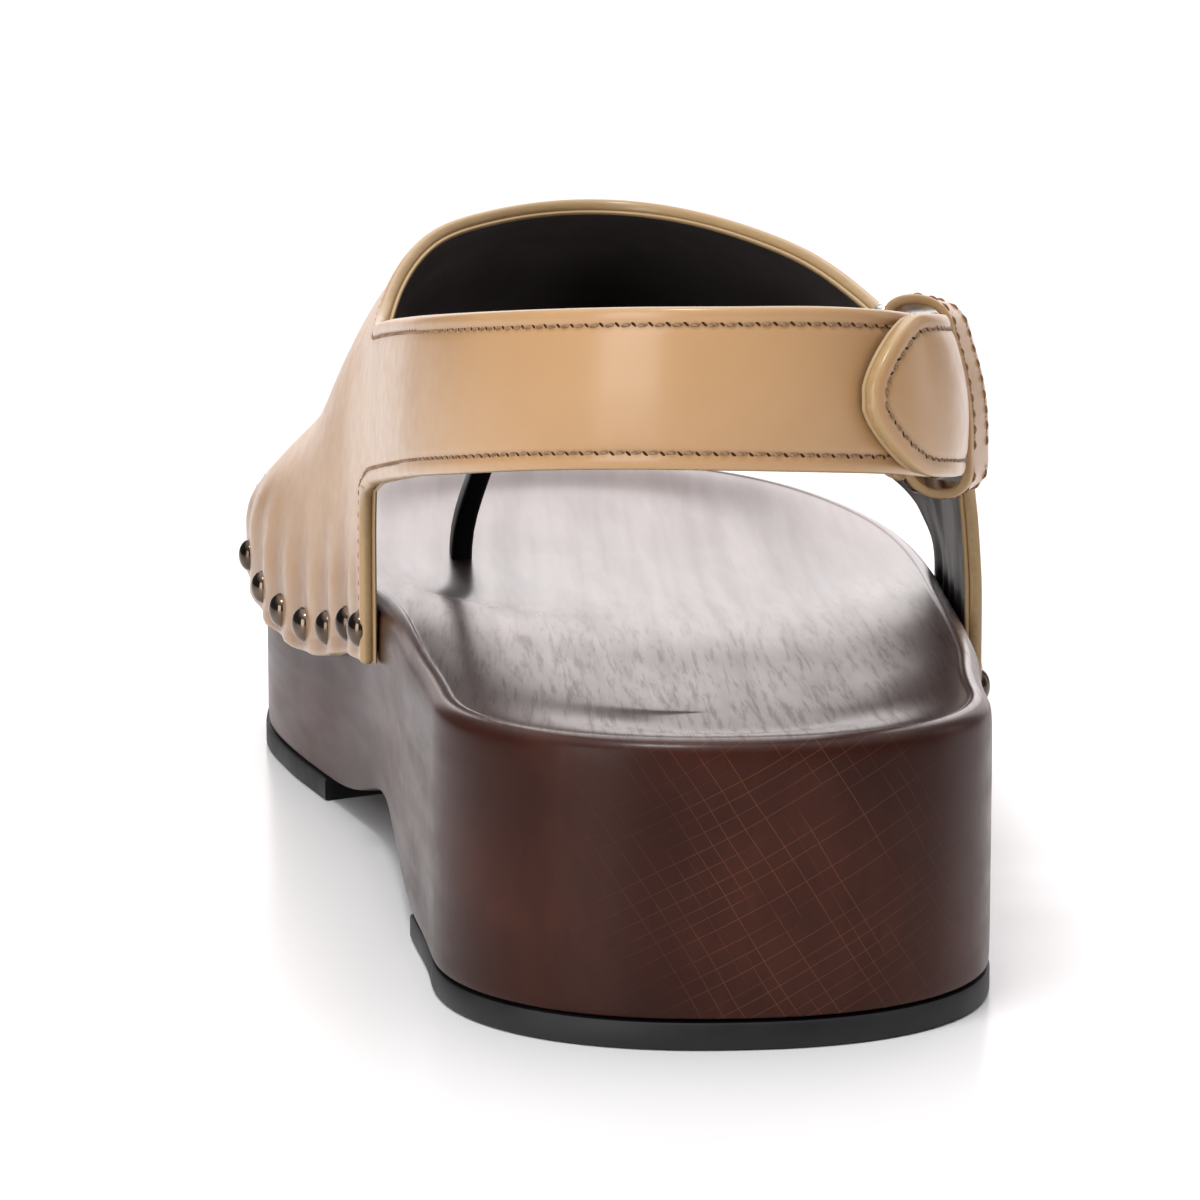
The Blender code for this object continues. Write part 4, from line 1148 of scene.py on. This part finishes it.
def needle_slit_shade():
    """Painted shade: a dark matt finish for the disc that stands in for the shaded cut of the needle."""
    made, tree, shader = new_material("painted slit shade", Specular_IOR_Level=0.1, Roughness=0.9)
    feed(shader, Base_Color=mixed(noise(tree, 2000.0), (0.06, 0.03, 0.018), (0.03, 0.015, 0.009)))
    return made


def surface_of(obj):
    """The faces of an object, to look up the nearest place on them."""
    return BVHTree.FromPolygons([v.co for v in obj.data.vertices], [p.vertices for p in obj.data.polygons])


SEAM, STITCH, THREAD, SLIT = 2.0, 1.85, 0.40, 0.85
SHORTEST_SEAM = 8  # in points of the surface
gathers(middle)
EDGES = open_edges(middle)
EDGE_DISTANCE = note_edge_distance(middle, EDGES)
EDGE_PAINT, LINING, LEATHER_TAN = painted_edge(), black_lining(), box_leather()
LINED_AT = -0.5  # where the two layers meet, out from the middle surface
leather = layer("upper_leather", LEATHER_TAN, LEATHER / 2, LINED_AT, rounding=0.6, seam_depth=0.14)
lining = layer("upper_lining", LINING, LINED_AT, -LEATHER / 2, rounding=0.35, seam_depth=0.0)
for piece, slot in ((leather, "tan_leather"), (lining, "black_leather")):
    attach(piece, "root")
    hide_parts("upper")
ONE_STITCH = one_stitch()
outer_frames = seam_frames(EDGES[0], surface_of(leather), math.radians(7))
stitching = copies("upper_stitching", ONE_STITCH, outer_frames)
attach(stitching, "root")
bpy.data.objects.remove(middle)

# === The nails ====================================================================================
# Dome-headed nails of darkened brass, driven through the margin of the vamp into the wood: seven on
# the inner side and five on the outer side.

STUD_DIAMETER, STUD_HEIGHT, STUD_SUNK = 4.8, 1.7, 0.1
# Under the dome, the rim rolls in and the shank goes back: each step's width and its way back.
STUD_BACK = ((1.0, -0.12), (0.93, -0.06), (0.8, 0.1), (0.4, 0.0), (1.0, -2.2))


def nail_head():
    """A low dome with a rolled rim and a short shank, its axis along +X."""
    ball = {"segments": 32, "ring_count": 20, "radius": STUD_DIAMETER / 2 * MM}
    head = primitive(bpy.ops.mesh.primitive_uv_sphere_add, rotation=(0, math.pi / 2, 0), **ball)
    bpy.ops.object.transform_apply(location=False, rotation=True, scale=False)
    with editing(head, "SELECT"):
        bpy.ops.mesh.bisect(plane_co=(0, 0, 0), plane_no=(1, 0, 0), clear_inner=True)
    for vert in head.data.vertices:
        vert.co.x *= STUD_HEIGHT / (STUD_DIAMETER / 2)
    with editing(head):
        bpy.ops.mesh.select_non_manifold()
        for width, back in STUD_BACK:
            bpy.ops.mesh.extrude_edges_move(TRANSFORM_OT_translate={"value": (back * MM, 0, 0)})
            bpy.ops.transform.resize(value=(1, width, width), center_override=(0, 0, 0))
        bpy.ops.mesh.edge_face_add()
        faces_outwards()
    bpy.ops.object.shade_smooth_by_angle(angle=math.radians(50))
    return head


def dark_brass():
    """Polished dark metal, its colour drifting between brown and black."""
    made, tree, shader = new_material("dark polished metal", Metallic=1.0)
    drift = noise(tree, 220.0, 3.0)
    scuffs = noise(tree, (1200.0, 1200.0, 500.0), 4.0)
    colour = mixed(ramp(drift, 0.3, 0.7), (0.16, 0.12, 0.09), (0.07, 0.052, 0.04))
    feed(shader, Base_Color=colour, Roughness=ramp(scuffs, 0.35, 0.75, 0.10, 0.26))
    bumped(shader, scuffs, 0.06, 0.00004)
    return made


head = nail_head()
head.data.materials.append(dark_brass())
for side, label in ((MEDIAL, "medial"), (LATERAL, "lateral")):
    first, last, count = STUD_ROW[side]
    for k in range(count):
        y = first + (last - first) * k / (count - 1)
        out = outward(side, y)
        plan = Vector((side_x(side, y), y)) + out * (GAP + LEATHER - STUD_SUNK)
        place = Matrix.Translation(in_frame((plan.x, plan.y, NAILED_AT[side]["studs"](y))))
        nail = linked(f"nail_{label}_{k + 1}", head.data.copy())
        nail.data.transform(place @ Matrix.Rotation(math.atan2(out.y, out.x), 4, "Z"))
        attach(nail, "root")
        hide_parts(f"stud_{label}_{k + 1}")
bpy.data.objects.remove(head)

# === The toe post =================================================================================
# A folded strip of black lining leather. Its foot is glued into a slot in the footbed and its top is
# sewn in under the front of the vamp.

POST = [  # places up its middle
    (-19.8, 190.0, 22.5),
    (-19.8, 190.0, 27.5),
    (-19.6, 189.6, 32.0),
    (-18.3, 188.4, 37.0),
    (-16.4, 186.8, 42.5),
    (-14.9, 185.2, 47.5),
    (-14.2, 184.2, 51.3),
]
POST_THICK, POST_LONG, POST_TOP_SLOPE = 3.2, 9.0, 0.85
FAR_FROM_EDGE = 8.0  # the attribute edge on a piece that isn't painted along its edges


def rounded_strip(half_across, half_up, rounding, steps=3):
    """The outline of a strip with rounded corners, as (across, up) points."""
    points = []
    for a, b, start in ((1, 1, 0), (-1, 1, 90), (-1, -1, 180), (1, -1, 270)):
        centre = (a * (half_across - rounding), b * (half_up - rounding))
        points += arc(centre, rounding, [start + 90 * k / steps for k in range(steps + 1)])
    return points


def swept(name, frames, profile, ends):
    """A profile of (across, up) points carried through frames of (place, across, up) vectors."""
    rings = [[place + across * a + up * b for a, b in profile] for place, across, up in frames]
    return draw_out(name, rings, ends)


post_frames = [(Vector(place), Vector((1, 0, 0)), Vector((0, 1, 0))) for place in POST]
post_frames[-1][2].z = -POST_TOP_SLOPE
post = swept("toe_strip", post_frames, rounded_strip(POST_THICK / 2, POST_LONG / 2, 0.9), "fill")
finished(post, "SUBSURF", levels=1, render_levels=1)
bpy.ops.object.shade_smooth_by_angle(angle=math.radians(50))
post.data.materials.append(LINING)
store(post, "edge", [FAR_FROM_EDGE] * len(post.data.vertices))
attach(post, "root")
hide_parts("toe_post")

# === The buckle ===================================================================================
# A small frame of polished silver metal with a prong. The slingback is turned round its heel bar and
# sewn, and the buckle strap comes in over the other bar.

BUCKLE_HEIGHT, BUCKLE_CORNER = 23.4, 1.6
BUCKLE_SPAN = (OVER_BAR - HEEL_BAR).length
BUCKLE_ALONG = (OVER_BAR - HEEL_BAR).normalized()
BUCKLE_OUT = Vector((BUCKLE_ALONG.y, -BUCKLE_ALONG.x))
# The pin from its eye to its tip, as (distance from the heel bar, distance out of the buckle's plane).
PIN = [(1.5, 2.05), (2.6, 2.0), (5.0, 1.85), (8.0, 2.0), (BUCKLE_SPAN, 2.2), (BUCKLE_SPAN + 1.8, 2.05)]


def buckle_place(along, height, off_plane=0.0):
    """A point in the buckle's own plane, this far from the heel bar and above the middle."""
    plan = HEEL_BAR + BUCKLE_ALONG * along + BUCKLE_OUT * off_plane
    return Vector((plan.x - BUCKLE_LEAN * height, plan.y, (BUCKLE_LOW + BUCKLE_HIGH) / 2 + height))


def buckle_frame():
    """The rectangular frame, a rounded square bar bent to shape."""
    line = rounded_strip(BUCKLE_SPAN / 2, (BUCKLE_HEIGHT - BAR) / 2, BUCKLE_CORNER, 6)
    frames = []
    for (along, height), tangent in zip(line, directions(line, closed=True)):
        away = (BUCKLE_ALONG * tangent.y).to_3d() - Vector((-BUCKLE_LEAN, 0, 1)) * tangent.x
        frames.append((buckle_place(along + BUCKLE_SPAN / 2, height), BUCKLE_OUT.to_3d(), away))
    return swept("buckle_bar", frames, rounded_strip(BAR / 2, BAR / 2, 0.55, 4), "join")


def buckle_prong():
    """The prong: an eye round the heel bar and a pin that rests on the other bar."""
    eye = BAR / 2 * 1.15 + GAP + 0.7
    path = arc((0.0, 0.0), eye, range(-60, -281, -10)) + PIN
    frames = []
    for (along, off_plane), tangent in zip(path, directions(path)):
        side = BUCKLE_ALONG * -tangent.y + BUCKLE_OUT * tangent.x
        frames.append((buckle_place(along, 0.0, off_plane), side.to_3d(), Vector((0, 0, 1))))
    return swept("buckle_pin", frames, rounded_strip(0.7, 0.7, 0.69, 4), "fill")


def silver():
    """Polished nickel plate, with faint hairline scratches."""
    made, tree, shader = new_material("polished silver metal", Metallic=1.0)
    hairs = noise(tree, (300.0, 2500.0, 2500.0), 3.0)
    colour = mixed(ramp(hairs, 0.3, 0.8), (0.72, 0.71, 0.69), (0.55, 0.54, 0.52))
    feed(shader, Base_Color=colour, Roughness=ramp(hairs, 0.3, 0.8, 0.08, 0.2))
    bumped(shader, hairs, 0.05, 0.00003)
    return made


SILVER = silver()
for piece, cad_node in ((buckle_frame(), "buckle_frame"), (buckle_prong(), "buckle_prong")):
    only(piece)
    bpy.ops.object.shade_smooth_by_angle(angle=math.radians(60))
    piece.data.materials.append(SILVER)
    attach(piece, "root")
    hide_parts(cad_node)

# === The keeper ===================================================================================
# A loop of thin tan leather, edges painted and stitched, that holds the end of the buckle strap down
# on the slingback.

KEEPER_WIDTH, KEEPER_LEATHER, KEEPER_Y, KEEPER_HEIGHT = 9.0, 1.2, 42.5, 23.3
KEEPER_SQUARE = 0.8  # how square it bends at its ends; 1 is round
KEEPER_SLACK = (0.1, 1.2)  # outside and inside the straps
KEEPER_TURN = 7.0  # degrees that it slews on the strap
KEEPER_FLARE, KEEPER_DROP = 0.19, 0.17  # how much its outer side opens, and its top falls, towards the toe
KEEPER_SEAM = 1.5  # from its edges


def keeper_frames():
    """Frames round the loop, up its outer side and down its inner side."""
    outer_side = [c for c in columns_along(spline(SLING, 6), MEDIAL) if c.place.x > 0]
    column = min(outer_side, key=lambda c: abs(c.place.y - KEEPER_Y))
    out = Matrix.Rotation(math.radians(-KEEPER_TURN), 2) @ column.lean.normalized()
    lean, cup = column.lean.length, column.cup.length
    level_middle, half = (column.low + column.high) / 2, (column.high - column.low) / 2
    outside = LAYER + LEATHER / 2 + GAP + KEEPER_LEATHER / 2 + KEEPER_SLACK[0]
    inside = -(LEATHER / 2 + GAP + KEEPER_LEATHER / 2 + KEEPER_SLACK[1])
    radius = (outside - inside) / 2
    straight = KEEPER_HEIGHT / 2 - radius - KEEPER_LEATHER / 2
    shares = [k / 5 - 0.9 for k in range(10)]
    line = [(outside - cup * (straight * k / half) ** 2, straight * k) for k in shares]
    centre = (outside + inside) / 2 - cup * (straight / half) ** 2
    ends = []
    for angle in range(10, 171, 8):
        off, rise = math.cos(math.radians(angle)), math.sin(math.radians(angle))
        ends.append((radius * math.copysign(abs(off) ** KEEPER_SQUARE, off), radius * rise**KEEPER_SQUARE))
    line += [(centre + off, straight + rise) for off, rise in ends]
    line += [(inside - cup * (straight * k / half) ** 2, -straight * k) for k in shares]
    line += [(centre - off, -straight - rise) for off, rise in ends]
    forward = Vector((-out.y, out.x, 0.0))
    frames = []
    for (off, rise), tangent in zip(line, directions(line, closed=True)):
        plan = column.place + out * (off - lean * rise)
        level = out * (tangent.y + lean * tangent.x)
        facing = Vector((level.x, level.y, -tangent.x))
        slope = KEEPER_FLARE * max(0.0, tangent.y) - KEEPER_DROP * max(0.0, -tangent.x)
        frames.append((Vector((plan.x, plan.y, level_middle + rise)), forward + facing * slope, facing))
    return frames


def keeper_seam(frames, across):
    """Places for stitches round the outer side of the loop, this far across it."""
    shown = [frame for frame in frames if frame[2].x > -0.3]
    path = [place + forward * across + out * KEEPER_LEATHER / 2 for place, forward, out in shown]
    travelled = lengths_along(path)
    made = []
    for k in range(int(travelled[-1] / STITCH)):
        point, i, share = at_length(path, travelled, STITCH * (k + 0.5))
        normal = shown[i][2].lerp(shown[i + 1][2], share).normalized()
        along = (path[i + 1] - path[i]).normalized()
        made.append(stitch_frame(in_frame(point), along, normal))
    return made


loop_frames = keeper_frames()
keeper = swept("keeper_strip", loop_frames, rounded_strip(KEEPER_WIDTH / 2, KEEPER_LEATHER / 2, 0.42), "join")
finished(keeper, "SUBSURF", levels=1, render_levels=1)
bpy.ops.object.shade_smooth()
keeper.data.materials.append(LEATHER_TAN)
keeper.data.materials.append(EDGE_PAINT)
for face in keeper.data.polygons:
    face.material_index = int(abs(face.normal.dot(loop_frames[0][1])) > 0.75)
store(keeper, "edge", [FAR_FROM_EDGE] * len(keeper.data.vertices))
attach(keeper, "root")
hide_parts("keeper_loop")
rim = KEEPER_WIDTH / 2 - KEEPER_SEAM
seams = keeper_seam(loop_frames, rim) + keeper_seam(loop_frames, -rim)
keeper_stitching = copies("keeper_stitching", ONE_STITCH, seams)
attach(keeper_stitching, "root")

# === The studio ===================================================================================
# A pale glossy floor in a grey room with a pale ceiling, a tall sheet of white paper beyond the toe,
# and four soft lights. The camera stands behind the heel, a little to the inner side.

ROOM_LIGHT, CEILING_LIGHT = (0.1, 0.16), 0.7
PAPER_LIGHT, PAPER_TOWARDS, PAPER_EDGE = (1.5, 1.9), (0.156, 0.988, 0.0), (0.885, 0.91)
PAPER_COLOUR, ROOM_COLOUR = (1.0, 0.935, 0.93), (0.97, 0.96, 1.0)
EYE, AIM, VIEW_ANGLE = Vector((-51.407, -477.431, 124.518)), Vector((-9.0, 60.0, 41.0)), 15.2
MIDDLE = Vector((0.0, 0.0, 0.04))  # where the lights are aimed, in metres in the frame


def aimed(name, data, place, back):
    """A camera or a light at a place. It looks away from the direction back."""
    obj = linked(name, data)
    obj.location = place
    obj.rotation_mode = "QUATERNION"
    obj.rotation_quaternion = back.to_track_quat("Z", "Y")
    return obj


def look_from_behind():
    """The camera, behind and a little to the inner side of the shoe, just above it."""
    data = bpy.data.cameras.new("view")
    data.lens = data.sensor_width / (2 * math.tan(math.radians(VIEW_ANGLE) / 2))
    data.clip_start = 0.02
    bpy.context.scene.camera = aimed("view", data, in_frame(EYE), EYE - AIM)


def pale_floor():
    """Pale glossy board under the shoe."""
    made, tree, shader = new_material("pale floor", Specular_IOR_Level=0.15)
    mottle = noise(tree, 90.0, 3.0)
    colour = mixed(mottle, (0.93, 0.93, 0.93), (0.926, 0.926, 0.926))
    feed(shader, Base_Color=colour, Roughness=ramp(mottle, 0.3, 0.7, 0.21, 0.22))
    floor = primitive(bpy.ops.mesh.primitive_plane_add, "floor", size=30.0)
    floor.data.materials.append(made)


def surroundings():
    """Grey room, darker on the inner side, with a pale ceiling and a tall sheet of lit white paper
    beyond the toe."""
    world = bpy.data.worlds.new("studio")
    world.use_nodes = True
    tree = world.node_tree

    def vector(operation, *inputs):
        return node(tree, "ShaderNodeVectorMath", enumerate(inputs), operation=operation).outputs

    direction = node(tree, "ShaderNodeTexCoord").outputs["Generated"]
    level = vector("NORMALIZE", vector("MULTIPLY", direction, (1.0, 1.0, 0.0))[0])[0]
    paper = ramp(vector("DOT_PRODUCT", level, PAPER_TOWARDS)["Value"], *PAPER_EDGE)
    sideways, _, upwards = node(tree, "ShaderNodeSeparateXYZ", {0: direction}).outputs
    ceiling = ramp(upwards, 0.45, 0.8, 0.0, CEILING_LIGHT)
    room = plus(ramp(sideways, -0.5, 0.3, *ROOM_LIGHT), ceiling)
    light = maths("MAXIMUM", room, times(paper, ramp(upwards, 0.15, 0.38, *PAPER_LIGHT)))
    feed(tree.nodes["Background"], Color=mixed(paper, ROOM_COLOUR, PAPER_COLOUR), Strength=light)
    bpy.context.scene.world = world


Softbox = namedtuple("Softbox", "name azimuth elevation distance width height power")
SOFTBOXES = [
    Softbox("left box", -44.0, 8.0, 1.2, 0.66, 1.1, 9.0),
    Softbox("right box", 108.0, 8.0, 1.3, 0.4, 1.1, 1.1),
    Softbox("top box", 180.0, 82.0, 1.6, 2.2, 2.2, 10.0),
    Softbox("rim box", -28.0, 70.0, 1.2, 0.26, 0.16, 5.0),
]


def softbox(box):
    """A rectangular light aimed at the shoe. Azimuth 0 is behind the heel and 90 on its outer side."""
    data = bpy.data.lights.new(box.name, "AREA")
    data.shape, data.size, data.size_y, data.energy = "RECTANGLE", box.width, box.height, box.power
    turn, rise = math.radians(box.azimuth), math.radians(box.elevation)
    away = Vector((math.sin(turn) * math.cos(rise), -math.cos(turn) * math.cos(rise), math.sin(rise)))
    aimed(box.name, data, away * box.distance + MIDDLE, away)


look_from_behind()
pale_floor()
surroundings()
for box in SOFTBOXES:
    softbox(box)
bpy.context.scene.view_settings.view_transform = "Standard"
